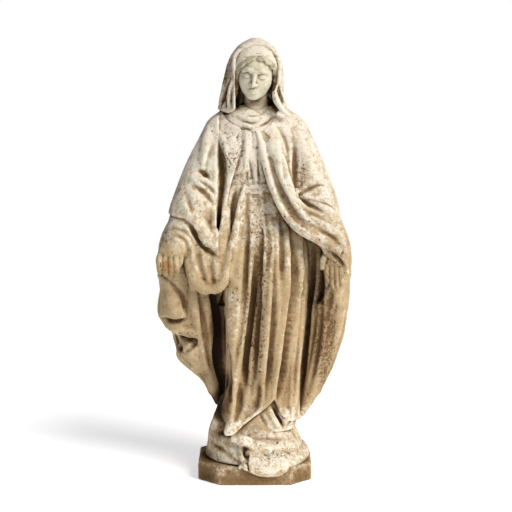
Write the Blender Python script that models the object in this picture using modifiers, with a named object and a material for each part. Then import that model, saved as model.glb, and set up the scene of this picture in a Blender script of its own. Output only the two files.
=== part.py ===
"""Cast-stone madonna: a draped figure on a globe with a serpent, on an octagonal plinth.

The statue is built as cast sections that are bedded on mortar, drawn together by one tie rod,
and pinned with dowels. +Z is up, the figure looks towards -Y, and the origin is on the floor
under the middle of the plinth.
"""

import math

import bmesh
import bpy
from mathutils import Matrix, Vector

MM = 0.001

# Joints between sections.
GAP = 0.3 * MM
ROOM = 2 * GAP  # how far a cutter made from a piece stands out from that piece

# Plinth: a rectangular block whose four upright corners are cut off.
PLINTH_WIDTH = 196 * MM
PLINTH_DEPTH = 176 * MM
PLINTH_HEIGHT = 32 * MM
PLINTH_CORNER = 37 * MM
PLINTH_EDGE = 2.5 * MM

# Globe: a half ball, bedded on the plinth.
GLOBE_RADIUS = 86 * MM
BED_THICKNESS = 2 * MM
BED_BORE_RIM = 3 * MM  # how far mortar stays back from the rod
PLINTH_BED_RIM = 24 * MM  # how far mortar stays back from the globe's edge
FIGURE_BED_REACH = math.radians(30)  # from the globe's pole, the cap of mortar under the figure
FIGURE_BASE = PLINTH_HEIGHT + BED_THICKNESS + 2 * GAP

# Tie rod, washer and nut, in a recess under the plinth.
ROD_RADIUS = 6 * MM
ROD_TOP = 540 * MM
ROD_TAIL = 3 * MM
NUT_RADIUS = 11 * MM
NUT_HEIGHT = 9 * MM
WASHER_RADIUS = 17 * MM
WASHER_THICKNESS = 3 * MM
RECESS_RADIUS = 21 * MM
RECESS_FLOOR_ROOM = 2 * MM  # between the rod's tail and the ground
RECESS_DEPTH = RECESS_FLOOR_ROOM + ROD_TAIL + NUT_HEIGHT + WASHER_THICKNESS + 2 * GAP

# Dowels and pins.
NECK_DOWEL_RADIUS = 4 * MM
NECK_DOWEL_LENGTH = 60 * MM
HAND_DOWEL_RADIUS = 2.5 * MM
HAND_DOWEL_LENGTH = 34 * MM
MANTLE_PIN_RADIUS = 3 * MM
MANTLE_PIN_LENGTH = 34 * MM
MANTLE_PIN_HEIGHTS = {"upper": 470 * MM, "lower": 170 * MM}
MANTLE_PIN_PLACE = (4 * MM, 50 * MM)

# Serpent round the foot of the globe. Each point: degrees round from +X, how far out from the
# globe's edge in mm, height above the globe's foot in mm, and the body's radius in mm.
SERPENT_ROUTE = (
    (-104, -6, 27, 11),
    (-96, -9, 16, 17),
    (-84, -15, 5, 22),
    (-66, -13, 3, 23),
    (-45, -9, 6, 22),
    (-22, -5, 12, 19),
    (0, -2, 14, 16),
    (25, -2, 11, 13),
    (50, -2, 8, 10),
    (75, -3, 6, 8),
    (100, -3, 5, 5),
    (120, -2, 4, 3),
)
UPPER_JAW = ((-24, -77, 34), (15, 9, 9))  # middle above the globe's foot, and half sizes, mm
LOWER_JAW = ((-17, -82, 7), (12, 7, 5))

# Gown sections, in mm: height above the globe's foot, middle x, middle y, half width, half
# depth, and how square the ellipse is.
GOWN_SECTIONS = (
    (46, 10, -8, 76, 70, 2.3),
    (66, 10, -8, 73, 68, 2.3),
    (100, 12, -6, 68, 64, 2.3),
    (160, 14, -5, 66, 62, 2.2),
    (230, 18, -4, 70, 62, 2.2),
    (300, 18, -2, 70, 59, 2.2),
    (370, 10, 0, 60, 51, 2.2),
    (430, 3, 2, 49, 42, 2.2),
    (466, 1, 3, 45, 40, 2.2),
    (510, 1, 2, 54, 45, 2.2),
    (550, 1, 2, 57, 45, 2.2),
    (580, 2, 4, 50, 38, 2.1),
    (598, 2, 6, 34, 30, 2.0),
    (608, 2, 6, 26, 25, 2.0),
)
GOWN_FLUTES = 15
GOWN_FLUTE_DEPTH = 3.5 * MM
GOWN_FLUTE_TOP = 430 * MM

# Mantle sections, in the same columns: the cloak from the feet to the neck.
MANTLE_SECTIONS = (
    (56, 14, 30, 66, 34, 2.0),
    (86, 16, 30, 88, 38, 2.0),
    (128, 17, 30, 108, 42, 2.0),
    (152, 12, 29, 124, 45, 2.0),
    (172, 3, 28, 137, 48, 2.0),
    (222, 3, 26, 146, 50, 2.0),
    (262, -3, 22, 160, 54, 2.0),
    (322, 1, 14, 162, 60, 2.0),
    (352, 0, 11, 163, 62, 2.0),
    (392, 0, 10, 152, 62, 2.0),
    (442, 3, 9, 133, 60, 2.1),
    (488, 3, 8, 116, 59, 2.2),
    (528, 2, 8, 103, 58, 2.2),
    (556, 2, 9, 92, 53, 2.2),
    (584, 2, 12, 80, 44, 2.1),
    (602, 1, 14, 58, 34, 2.0),
    (614, 1, 14, 44, 26, 2.0),
)
# Where the mantle is open over the gown, as (x, height above the globe's foot) in mm: up its
# right edge, across the throat, and down its left edge to the cuff.
MANTLE_OPENING = (
    (-220, 20),
    (-220, 338),
    (-126, 342),
    (-84, 272),
    (-54, 280),
    (-46, 310),
    (-38, 360),
    (-36, 440),
    (-38, 480),
    (-26, 525),
    (-22, 565),
    (-16, 640),
    (5, 640),
    (6, 560),
    (19, 490),
    (34, 444),
    (60, 399),
    (92, 370),
    (130, 350),
    (220, 338),
    (220, 20),
)
MANTLE_OPENING_BACK = -12 * MM  # behind this, the mantle hangs whole

# Arms under the mantle, from shoulder to cuff: x, y, height above the globe's foot, radius, mm.
RIGHT_ARM = (
    (-62, 2, 578, 27),
    (-92, -6, 500, 31),
    (-112, -20, 430, 36),
    (-134, -38, 376, 27),
    (-146, -48, 350, 19),
)
LEFT_ARM = (
    (66, 2, 578, 27),
    (98, -6, 500, 31),
    (116, -20, 430, 36),
    (138, -36, 378, 27),
    (146, -44, 348, 19),
)
# The mantle's hanging loop under the right forearm, from cuff to waist.
RIGHT_SWAG = (
    (-118, -34, 382, 24),
    (-96, -46, 324, 24),
    (-74, -52, 300, 24),
    (-54, -54, 326, 20),
    (-48, -46, 392, 18),
    (-46, -40, 450, 14),
)
# The mantle's front edge, swept from the left breast to the left cuff.
LEFT_EDGE = (
    (24, -42, 530, 13),
    (36, -50, 460, 14),
    (62, -56, 406, 16),
    (100, -54, 378, 17),
    (138, -46, 358, 16),
)

# Head, neck and veil, in the same frame as the sections.
HEAD_MIDDLE = Vector((3, -14, 668)) * MM
HEAD_HALF_SIZES = Vector((30, 37, 45)) * MM
HEAD_TILT = math.radians(6)
HEAD_BOW = math.radians(16)
JAW_MIDDLE = Vector((0, -10, -22)) * MM
JAW_HALF_SIZES = Vector((22, 24, 26)) * MM
NECK_RADIUS = 17 * MM
NECK_TOP = Vector((0, 14, -20)) * MM  # from the head's middle
NECK_FOOT = Vector((2, 6, 606)) * MM
NECK_TENON_RADIUS = 13 * MM
NECK_TENON_LENGTH = 18 * MM
NECK_TENON_OVERLAP = 10 * MM
VEIL_SECTIONS = (
    (582, -1, 13, 64, 36, 2.0),
    (600, -2, 13, 63, 40, 2.0),
    (626, -3, 12, 57, 44, 2.0),
    (655, -2, 9, 53, 49, 2.0),
    (678, 0, 6, 48, 50, 2.0),
    (698, 2, 3, 41, 46, 2.0),
    (712, 3, 1, 31, 38, 2.0),
    (721, 3, 0, 19, 26, 2.0),
    (726, 3, 0, 7, 10, 2.0),
)
VEIL_WALL = 7 * MM
VEIL_JOINT = 1.2 * MM  # the open joint between the veil's foot and the mantle
FACE_OPENING_MIDDLE = Vector((0, -40, -14)) * MM  # from the head's middle
FACE_OPENING_HALF_SIZES = Vector((36, 40, 56)) * MM

# Hands: palm, fingers and wrist.
PALM_LENGTH = 26 * MM
PALM_WIDTH = 25 * MM
PALM_THICKNESS = 11 * MM
FINGER_RADIUS = 3.9 * MM
FINGER_LENGTHS = (17 * MM, 21 * MM, 20 * MM, 16 * MM)
FINGER_CURL = 0.42
THUMB_LENGTH = 18 * MM
WRIST_RADIUS = 10 * MM
WRIST_LENGTH = 22 * MM
HAND_LEAN = math.radians(-14)
HAND_DROP = 2 * MM  # how far the hand's own origin sits above the cuff's last point

# Finishes: name, colour, roughness, metallic.
CAST_STONE = ("cast_stone", (0.62, 0.52, 0.37), 0.85, 0.0)
FINE_STONE = ("fine_cast_stone", (0.70, 0.62, 0.46), 0.75, 0.0)
MORTAR = ("bedding_mortar", (0.45, 0.42, 0.37), 0.95, 0.0)
IRON = ("galvanised_iron", (0.38, 0.36, 0.34), 0.55, 0.9)


def clear_scene():
    for old in list(bpy.data.objects):
        bpy.data.objects.remove(old)


def collection(name):
    made = bpy.data.collections.new(name)
    bpy.context.scene.collection.children.link(made)
    return made


def material(finish):
    name, colour, roughness, metallic = finish
    made = bpy.data.materials.get(name)
    if made is None:
        made = bpy.data.materials.new(name)
        made.use_nodes = True
        shader = made.node_tree.nodes["Principled BSDF"]
        shader.inputs["Base Color"].default_value = (*colour, 1.0)
        shader.inputs["Roughness"].default_value = roughness
        shader.inputs["Metallic"].default_value = metallic
        made.diffuse_color = (*colour, 1.0)
    return made


def add_piece(name, mesh, finish, location=(0, 0, 0), turn=None):
    """One sub-part of the statue, at its place, held by the statue's empty."""
    piece = bpy.data.objects.new(name, mesh)
    mesh.materials.clear()
    mesh.materials.append(material(finish))
    STATUE.objects.link(piece)
    piece.parent = HOLDER
    piece.location = location
    if turn:
        piece.rotation_euler = turn.to_euler()
    return piece


def add_cutter(name, mesh, location=(0, 0, 0), turn=None):
    """A helper that cuts or joins, and is no part of the statue."""
    helper = bpy.data.objects.new(name, mesh)
    CUTTERS.objects.link(helper)
    helper.hide_render = True
    helper.display_type = "WIRE"
    helper.location = location
    if turn:
        helper.rotation_euler = turn.to_euler()
    return helper


def mesh_from(name, bm):
    bmesh.ops.recalc_face_normals(bm, faces=bm.faces)
    mesh = bpy.data.meshes.new(name)
    bm.to_mesh(mesh)
    bm.free()
    mesh.shade_smooth()
    mesh.set_sharp_from_angle(angle=math.radians(40))
    return mesh


def baked(obj, in_world=False):
    """The object's mesh as its modifiers leave it, in its own frame or the world's."""
    bpy.context.view_layer.update()
    graph = bpy.context.evaluated_depsgraph_get()
    mesh = bpy.data.meshes.new_from_object(obj.evaluated_get(graph))
    if in_world:
        mesh.transform(obj.matrix_world)
    return mesh


def cut(obj, *tools, operation="DIFFERENCE"):
    for tool in tools:
        step = obj.modifiers.new(f"{operation.lower()}_{tool.name}", "BOOLEAN")
        step.operation = operation
        step.object = tool
    return obj


def room_round(obj):
    """A cutter in the shape of a finished piece, standing out from its skin by ROOM."""
    bm = bmesh.new()
    bm.from_mesh(baked(obj, in_world=True))
    bm.normal_update()
    for corner in bm.verts:
        corner.co += corner.normal * ROOM
    return add_cutter(obj.name + "_room", mesh_from(obj.name + "_room", bm))


def cylinder(name, radius, length, sides=16):
    """A closed cylinder along Z, with its middle at the origin."""
    bm = bmesh.new()
    bmesh.ops.create_cone(bm, cap_ends=True, segments=sides, radius1=radius, radius2=radius, depth=length)
    return mesh_from(name, bm)


def upright(name, radius, low, high, sides=16, x=0.0, y=0.0):
    """An upright cylinder from one height to another."""
    mesh = cylinder(name, radius, high - low, sides)
    mesh.transform(Matrix.Translation((x, y, (low + high) / 2)))
    return mesh


def ball(name, middle, half_sizes, turn=None, segments=24, rings=14):
    """An ellipsoid, turned about its own middle."""
    bm = bmesh.new()
    bmesh.ops.create_uvsphere(bm, u_segments=segments, v_segments=rings, radius=1)
    turn = turn or Matrix.Identity(4)
    bm.transform(Matrix.Translation(middle) @ turn @ Matrix.Diagonal((*half_sizes, 1)))
    return mesh_from(name, bm)


def aimed(direction):
    """The turn that takes +Z to the direction."""
    return Vector((0, 0, 1)).rotation_difference(Vector(direction)).to_matrix().to_4x4()


def turned(name, profile, finish, height, steps):
    """A turned piece: a closed (radius, height) outline that runs down its outer side."""
    bm = bmesh.new()
    loop = [bm.verts.new((radius, 0, rise)) for radius, rise in profile]
    for first, second in zip(loop, loop[1:] + loop[:1]):
        bm.edges.new((first, second))
    mesh = bpy.data.meshes.new(name)
    bm.to_mesh(mesh)
    bm.free()
    piece = add_piece(name, mesh, finish, (0, 0, height))
    screw = piece.modifiers.new("turn", "SCREW")
    screw.steps = steps
    screw.render_steps = steps
    screw.use_merge_vertices = True
    screw.merge_threshold = 0.01 * MM
    return piece


def arc(radius, first, last, count):
    """Points (radius, height) on a circle, from one angle off the pole to another."""
    angles = [first + (last - first) * i / (count - 1) for i in range(count)]
    return [(radius * math.sin(a), radius * math.cos(a)) for a in angles]


def section_ring(section, around, grow, flute):
    """One closed ring of a loft: a squared ellipse, with flutes where it has them."""
    height, x, y, half_width, half_depth, power = section
    ring = []
    for step in range(around):
        angle = 2 * math.pi * step / around
        c, s = math.cos(angle), math.sin(angle)
        stretch = (abs(c) ** power + abs(s) ** power) ** (-1 / power)
        wave = 1 + flute * math.cos(GOWN_FLUTES * angle) / (half_width * MM)
        reach_x = half_width * MM * wave + grow
        reach_y = half_depth * MM * wave + grow
        ring.append((x * MM + reach_x * stretch * c, y * MM + reach_y * stretch * s, height * MM))
    return ring


def between(first, second, share):
    return tuple(a + (b - a) * share for a, b in zip(first, second))


def loft(name, sections, around, steps=1, grow=0.0, flutes=0.0):
    """A closed skin through the sections, with `steps` rings from each to the next."""
    rows = []
    for first, second in zip(sections, sections[1:]):
        rows += [between(first, second, step / steps) for step in range(steps)]
    rows.append(sections[-1])
    bm = bmesh.new()
    rings = []
    for row in rows:
        fade = min(1.0, 2 * max(0.0, 1 - row[0] * MM / GOWN_FLUTE_TOP))
        rings.append([bm.verts.new(p) for p in section_ring(row, around, grow, flutes * fade)])
    for low, high in zip(rings, rings[1:]):
        for i in range(around):
            j = (i + 1) % around
            bm.faces.new((low[i], low[j], high[j], high[i]))
    bm.faces.new(rings[0])
    bm.faces.new(rings[-1])
    return mesh_from(name, bm)


def limb(name, points, bevel_resolution):
    """A tapered tube through points of (x, y, height, radius) in mm, as a closed mesh."""
    curve = bpy.data.curves.new(name, "CURVE")
    curve.dimensions = "3D"
    curve.bevel_depth = MM
    curve.bevel_resolution = bevel_resolution
    curve.use_fill_caps = True
    curve.resolution_u = 4
    spline = curve.splines.new("NURBS")
    spline.points.add(len(points) - 1)
    spline.order_u = 3
    spline.use_endpoint_u = True
    for point, (x, y, height, radius) in zip(spline.points, points):
        point.co = (x * MM, y * MM, height * MM, 1)
        point.radius = radius
    return mesh_of_curve(name, curve)


def mesh_of_curve(name, curve):
    guide = add_cutter(name + "_guide", curve)
    bm = bmesh.new()
    bm.from_mesh(baked(guide))
    bpy.data.objects.remove(guide)
    bmesh.ops.remove_doubles(bm, verts=bm.verts, dist=0.01 * MM)
    return mesh_from(name, bm)


def upright_panel(name, outline, front, back):
    """A flat (x, height) outline in mm, standing upright, from y = front to y = back."""
    curve = bpy.data.curves.new(name, "CURVE")
    curve.dimensions = "2D"
    curve.fill_mode = "BOTH"
    curve.extrude = (back - front) / 2
    spline = curve.splines.new("POLY")
    spline.points.add(len(outline) - 1)
    spline.use_cyclic_u = True
    for point, (x, height) in zip(spline.points, outline):
        point.co = (x * MM, height * MM, 0, 1)
    mesh = mesh_of_curve(name, curve)
    mesh.transform(Matrix.Translation((0, (front + back) / 2, 0)) @ Matrix.Rotation(math.pi / 2, 4, "X"))
    return mesh


def fused(name, shapes, voxel, triangles, finish, location=(0, 0, 0), turn=None):
    """Overlapping shapes made one softened body, in about this many triangles."""
    bm = bmesh.new()
    for shape in shapes:
        bm.from_mesh(shape)
    piece = add_piece(name, mesh_from(name, bm), finish, location, turn)
    skin = piece.modifiers.new("one_skin", "REMESH")
    skin.mode = "VOXEL"
    skin.voxel_size = voxel
    soften = piece.modifiers.new("soften", "SMOOTH")
    soften.factor = 0.5
    soften.iterations = 4
    fewer = piece.modifiers.new("fewer_faces", "DECIMATE")
    fewer.use_collapse_triangulate = True
    fewer.ratio = 1.0
    dense = sum(len(face.vertices) - 2 for face in baked(piece).polygons)
    fewer.ratio = min(1.0, triangles / dense)
    mesh = baked(piece)
    piece.modifiers.clear()
    piece.data = mesh
    mesh.shade_smooth()
    return piece


def add_pin(name, radius, length, middle, turn):
    """An iron pin, and the slightly larger cutter that makes its hole."""
    add_piece(name, cylinder(name, radius, length, 12), IRON, middle, turn)
    hole = name + "_hole"
    return add_cutter(hole, cylinder(hole, radius + GAP, length + 2 * GAP, 12), middle, turn)


def make_plinth(tools):
    bm = bmesh.new()
    bmesh.ops.create_cube(bm, size=1)
    bm.transform(Matrix.Diagonal((PLINTH_WIDTH, PLINTH_DEPTH, PLINTH_HEIGHT, 1)))
    corners = [e for e in bm.edges if abs(e.verts[0].co.z - e.verts[1].co.z) > PLINTH_HEIGHT / 2]
    bmesh.ops.bevel(bm, geom=corners, offset=PLINTH_CORNER, segments=1, affect="EDGES")
    plinth = add_piece("plinth", mesh_from("plinth", bm), CAST_STONE, (0, 0, PLINTH_HEIGHT / 2))
    worn = plinth.modifiers.new("worn_edges", "BEVEL")
    worn.width = PLINTH_EDGE
    worn.segments = 2
    recess = add_cutter("nut_recess", upright("nut_recess", RECESS_RADIUS, -PLINTH_HEIGHT, RECESS_DEPTH, 24))
    return cut(plinth, recess, *tools)


def make_plinth_bed(tools):
    inner, outer = ROD_RADIUS + BED_BORE_RIM, GLOBE_RADIUS - PLINTH_BED_RIM
    outline = [(inner, BED_THICKNESS), (outer, BED_THICKNESS), (outer, 0), (inner, 0)]
    return cut(turned("plinth_bed", outline, MORTAR, PLINTH_HEIGHT + GAP, 28), *tools)


def make_globe(tools):
    bore = ROD_RADIUS + GAP
    outline = arc(GLOBE_RADIUS, math.asin(bore / GLOBE_RADIUS), math.pi / 2, 12) + [(bore, 0)]
    return cut(turned("globe", outline, CAST_STONE, FIGURE_BASE, 40), *tools)


def make_figure_bed():
    low = GLOBE_RADIUS + GAP
    high = low + BED_THICKNESS
    inner = ROD_RADIUS + BED_BORE_RIM
    over = arc(high, math.asin(inner / high), FIGURE_BED_REACH, 5)
    under = arc(low, FIGURE_BED_REACH, math.asin(inner / low), 5)
    return turned("figure_bed", over + under, MORTAR, FIGURE_BASE, 28)


def make_serpent():
    """The body wound on the globe, with its jaws open at the front."""
    route = []
    for degrees, out, height, radius in SERPENT_ROUTE:
        reach, angle = GLOBE_RADIUS / MM + out, math.radians(degrees)
        route.append((reach * math.cos(angle), reach * math.sin(angle), height, radius))
    shapes = [limb("body", route, 3)]
    for name, (middle, half_sizes) in (("upper_jaw", UPPER_JAW), ("lower_jaw", LOWER_JAW)):
        shapes.append(ball(name, Vector(middle) * MM, Vector(half_sizes) * MM, segments=16, rings=8))
    return fused("serpent", shapes, 2.5 * MM, 1100, CAST_STONE, (0, 0, FIGURE_BASE))


def make_head(dowel_hole):
    turn = Matrix.Rotation(HEAD_TILT, 4, "Y") @ Matrix.Rotation(HEAD_BOW, 4, "X")
    neck_line = HEAD_MIDDLE + NECK_TOP - NECK_FOOT
    neck = cylinder("neck", NECK_RADIUS, neck_line.length, 20)
    neck.transform(Matrix.Translation(NECK_FOOT + neck_line / 2) @ aimed(neck_line))
    shapes = [
        ball("skull", HEAD_MIDDLE, HEAD_HALF_SIZES, turn),
        ball("jaw", HEAD_MIDDLE + turn @ JAW_MIDDLE, JAW_HALF_SIZES, turn),
        neck,
    ]
    head = fused("head", shapes, 2.5 * MM, 900, FINE_STONE, (0, 0, FIGURE_BASE))
    # The tenon is a clean round peg under the softened neck.
    low, high = NECK_FOOT.z - NECK_TENON_LENGTH, NECK_FOOT.z + NECK_TENON_OVERLAP
    peg = upright("neck_tenon", NECK_TENON_RADIUS, low, high, 20, NECK_FOOT.x, NECK_FOOT.y)
    cut(head, add_cutter("neck_tenon", peg, (0, 0, FIGURE_BASE)), operation="UNION")
    return cut(head, dowel_hole)


def make_gown(tools):
    mesh = loft("gown", GOWN_SECTIONS, 60, flutes=GOWN_FLUTE_DEPTH)
    return cut(add_piece("gown", mesh, CAST_STONE, (0, 0, FIGURE_BASE)), *tools)


def room_over(name, sections, around, grow, flutes=0.0):
    """A lofted skin, grown to cut the pieces that lie on it."""
    return add_cutter(name, loft(name, sections, around, grow=grow, flutes=flutes), (0, 0, FIGURE_BASE))


def make_mantle(tools):
    shapes = [loft("cloak", MANTLE_SECTIONS, 48, steps=2)]
    for name, points in (
        ("right_arm", RIGHT_ARM),
        ("left_arm", LEFT_ARM),
        ("right_swag", RIGHT_SWAG),
        ("left_edge", LEFT_EDGE),
    ):
        shapes.append(limb(name, points, 4))
    mantle = fused("mantle", shapes, 5 * MM, 3200, CAST_STONE, (0, 0, FIGURE_BASE))
    front = upright_panel("mantle_opening", MANTLE_OPENING, -PLINTH_DEPTH, MANTLE_OPENING_BACK)
    return cut(mantle, add_cutter("mantle_opening", front, (0, 0, FIGURE_BASE)), *tools)


def make_veil(tools):
    veil = add_piece("veil", loft("veil", VEIL_SECTIONS, 32), CAST_STONE, (0, 0, FIGURE_BASE))
    wall = VEIL_WALL / MM
    inside = [(h - wall, x, y, w - wall, d - wall, p) for h, x, y, w, d, p in VEIL_SECTIONS if w > 2 * wall]
    hollow = add_cutter("veil_hollow", loft("veil_hollow", inside, 32), (0, 0, FIGURE_BASE))
    face = ball("face_opening", HEAD_MIDDLE + FACE_OPENING_MIDDLE, FACE_OPENING_HALF_SIZES)
    return cut(veil, hollow, add_cutter("face_opening", face, (0, 0, FIGURE_BASE)), *tools)


def hand_shapes(side):
    """A hand in its own frame: wrist at the origin, fingers along -Z, palm towards -Y."""
    bm = bmesh.new()
    bmesh.ops.create_cube(bm, size=1)
    half_way = Matrix.Translation((0, 0, -PALM_LENGTH / 2))
    bm.transform(half_way @ Matrix.Diagonal((PALM_WIDTH, PALM_THICKNESS, PALM_LENGTH, 1)))
    bmesh.ops.bevel(bm, geom=list(bm.edges), offset=PALM_THICKNESS * 0.3, segments=2, affect="EDGES")
    shapes = [mesh_from("palm", bm), upright("wrist", WRIST_RADIUS, -PALM_LENGTH / 4, WRIST_LENGTH)]
    spacing = PALM_WIDTH / len(FINGER_LENGTHS)
    fingers = []
    for index, length in enumerate(FINGER_LENGTHS):
        x = side * (index - (len(FINGER_LENGTHS) - 1) / 2) * spacing
        root = Vector((x, 0, -PALM_LENGTH * 0.85))
        fingers.append((root, Vector((x * 0.15, -length * FINGER_CURL, -length)), FINGER_RADIUS))
    thumb_root = Vector((-side * PALM_WIDTH * 0.36, 0, -PALM_LENGTH * 0.35))
    thumb = Vector((-side * THUMB_LENGTH * 0.35, -THUMB_LENGTH * FINGER_CURL, -THUMB_LENGTH))
    fingers.append((thumb_root, thumb, FINGER_RADIUS * 1.1))
    for root, reach, radius in fingers:
        half_sizes = (radius, radius, reach.length * 0.62)
        shapes.append(ball("finger", root + reach / 2, half_sizes, aimed(reach), 12, 8))
    return shapes


def make_hand(name, side, cuff):
    """A hand at the end of a sleeve, with the dowel that holds it. Returns what it cuts."""
    x, y, height, _ = cuff[-1]
    lean = Matrix.Rotation(HAND_LEAN, 4, "X")
    wrist = Vector((x * MM, y * MM, FIGURE_BASE + height * MM + HAND_DROP))
    dowel_middle = wrist + lean @ Vector((0, 0, WRIST_LENGTH - HAND_DROP))
    hole = add_pin(f"{name}_dowel", HAND_DOWEL_RADIUS, HAND_DOWEL_LENGTH, dowel_middle, lean)
    hand = fused(name, hand_shapes(side), 1.6 * MM, 560, FINE_STONE, wrist, lean)
    room = room_round(hand)
    cut(hand, hole)
    return [room, hole]


def make_fastening():
    """The tie rod with its washer and nut, in the recess under the plinth."""
    washer_low = RECESS_DEPTH - GAP - WASHER_THICKNESS
    nut_top = washer_low - GAP
    nut_low = nut_top - NUT_HEIGHT
    rod_low = nut_low - ROD_TAIL
    rod = cylinder("tie_rod", ROD_RADIUS, ROD_TOP - rod_low, 20)
    add_piece("tie_rod", rod, IRON, (0, 0, (rod_low + ROD_TOP) / 2))
    hole = ROD_RADIUS + GAP
    outline = [(hole, WASHER_THICKNESS), (WASHER_RADIUS, WASHER_THICKNESS), (WASHER_RADIUS, 0), (hole, 0)]
    turned("tie_washer", outline, IRON, washer_low, 28)
    nut = add_piece("tie_nut", cylinder("tie_nut", NUT_RADIUS, NUT_HEIGHT, 6), IRON, (0, 0, (nut_low + nut_top) / 2))
    thread = cylinder("nut_thread", hole, 2 * NUT_HEIGHT, 20)
    cut(nut, add_cutter("nut_thread", thread, nut.location))


def main():
    bore = upright("rod_bore", ROD_RADIUS + GAP, -PLINTH_HEIGHT, ROD_TOP + GAP, 20)
    rod_bore = add_cutter("rod_bore", bore)
    seat_radius = GLOBE_RADIUS + BED_THICKNESS + 2 * GAP
    seat_mesh = ball("globe_seat", (0, 0, 0), (seat_radius,) * 3, segments=40, rings=28)
    seat = add_cutter("globe_seat", seat_mesh, (0, 0, FIGURE_BASE))

    make_fastening()
    serpent_room = room_round(make_serpent())
    make_plinth([rod_bore, serpent_room])
    make_plinth_bed([serpent_room])
    make_globe([serpent_room])
    make_figure_bed()

    neck_middle = Vector((0, 0, FIGURE_BASE)) + NECK_FOOT - Vector((0, 0, NECK_TENON_LENGTH))
    neck_hole = add_pin("neck_dowel", NECK_DOWEL_RADIUS, NECK_DOWEL_LENGTH, neck_middle, Matrix.Identity(4))
    head_room = room_round(make_head(neck_hole))

    pin_holes = []
    for level, height in MANTLE_PIN_HEIGHTS.items():
        middle = Vector((*MANTLE_PIN_PLACE, FIGURE_BASE + height))
        turn = Matrix.Rotation(math.pi / 2, 4, "X")
        pin_holes.append(add_pin(f"mantle_pin_{level}", MANTLE_PIN_RADIUS, MANTLE_PIN_LENGTH, middle, turn))
    make_gown([seat, rod_bore, head_room, neck_hole, serpent_room, *pin_holes])

    hand_cutters = make_hand("right_hand", -1, RIGHT_ARM) + make_hand("left_hand", 1, LEFT_ARM)
    gown_room = room_over("gown_room", GOWN_SECTIONS, 60, ROOM, GOWN_FLUTE_DEPTH)
    mantle = make_mantle([gown_room, seat, head_room, neck_hole, *hand_cutters, *pin_holes])
    cloak_room = room_over("cloak_room", MANTLE_SECTIONS, 48, VEIL_JOINT)
    make_veil([head_room, gown_room, cloak_room, room_round(mantle)])


clear_scene()
STATUE = collection("madonna_statue")
CUTTERS = collection("cutters")
HOLDER = bpy.data.objects.new("statue_frame", None)
STATUE.objects.link(HOLDER)
main()
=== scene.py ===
# %% [markdown]
# # A garden madonna in weathered cast stone
#
# The real statue is cast in moulds from cement and crushed stone, in a few sections that are
# bedded on mortar and pinned. It was limewashed long ago, and rain has worn the wash away from
# some places and left grime in the hollows. This lesson opens the imported statue as a fixed
# frame, and then models the cast sections again as sculpture, inside the sizes of the frame.

# %% Open the frame, with each part's place baked into its mesh
import math

import bpy
import numpy as np
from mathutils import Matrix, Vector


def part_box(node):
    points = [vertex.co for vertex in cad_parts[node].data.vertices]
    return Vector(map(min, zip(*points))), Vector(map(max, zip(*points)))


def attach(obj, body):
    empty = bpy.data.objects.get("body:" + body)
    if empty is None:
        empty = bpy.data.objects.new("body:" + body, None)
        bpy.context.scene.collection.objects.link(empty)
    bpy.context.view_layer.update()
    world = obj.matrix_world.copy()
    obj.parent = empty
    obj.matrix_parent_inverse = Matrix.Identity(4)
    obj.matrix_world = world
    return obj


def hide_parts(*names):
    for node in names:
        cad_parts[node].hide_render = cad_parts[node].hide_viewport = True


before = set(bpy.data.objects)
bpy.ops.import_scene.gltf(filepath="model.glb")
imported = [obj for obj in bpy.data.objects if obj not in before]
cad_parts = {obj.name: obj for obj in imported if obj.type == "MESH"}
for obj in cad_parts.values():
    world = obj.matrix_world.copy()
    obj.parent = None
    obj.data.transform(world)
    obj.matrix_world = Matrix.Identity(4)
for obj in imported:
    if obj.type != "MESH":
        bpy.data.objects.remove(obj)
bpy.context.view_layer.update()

import openvdb
from mathutils import Matrix, Vector

MM = 0.001

# %% [markdown]
# ## Camera, floor and light
#
# A statue is best seen from a little above its middle with a long lens, which keeps its upright
# lines upright. The floor is a plain white sheet. A large soft light stands high at the front
# right, as an overcast sky would, and the pale world fills the shadows. Small lights would give
# hard shadow edges, which flatten carved folds, so every light here is wide.


# %% Camera
def aim(thing, place, target):
    thing.location = place
    thing.rotation_euler = (Vector(target) - Vector(place)).to_track_quat("-Z", "Y").to_euler()


scene = bpy.context.scene
lens = bpy.data.cameras.new("camera")
lens.lens = 104.1
lens.sensor_width = 36
camera = bpy.data.objects.new("camera", lens)
scene.collection.objects.link(camera)
aim(camera, (0.002, -2.555, 0.724), (0.002, 0, 0.386))
scene.camera = camera
print("camera is", round(camera.location.length, 3), "m from the plinth")


# %% Colours and nodes
def colour(hex_code, alpha=1.0):
    """The linear colour of an sRGB hex code such as #E8DEC4."""
    parts = [int(hex_code[i : i + 2], 16) / 255 for i in (1, 3, 5)]
    linear = [c / 12.92 if c <= 0.04045 else ((c + 0.055) / 1.055) ** 2.4 for c in parts]
    return (*linear, alpha)


def add_node(tree, kind, inputs=None, **settings):
    """One node, with its settings, and with each input set to a value or linked to a socket."""
    made = tree.nodes.new(kind)
    for name, value in settings.items():
        setattr(made, name, value)
    for name, value in (inputs or {}).items():
        if isinstance(value, bpy.types.NodeSocket):
            tree.links.new(value, made.inputs[name])
        else:
            made.inputs[name].default_value = value
    return made


def sums(tree, operation, *values):
    """The result of one sum on numbers and sockets."""
    return add_node(tree, "ShaderNodeMath", dict(enumerate(values)), operation=operation).outputs[0]


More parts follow.
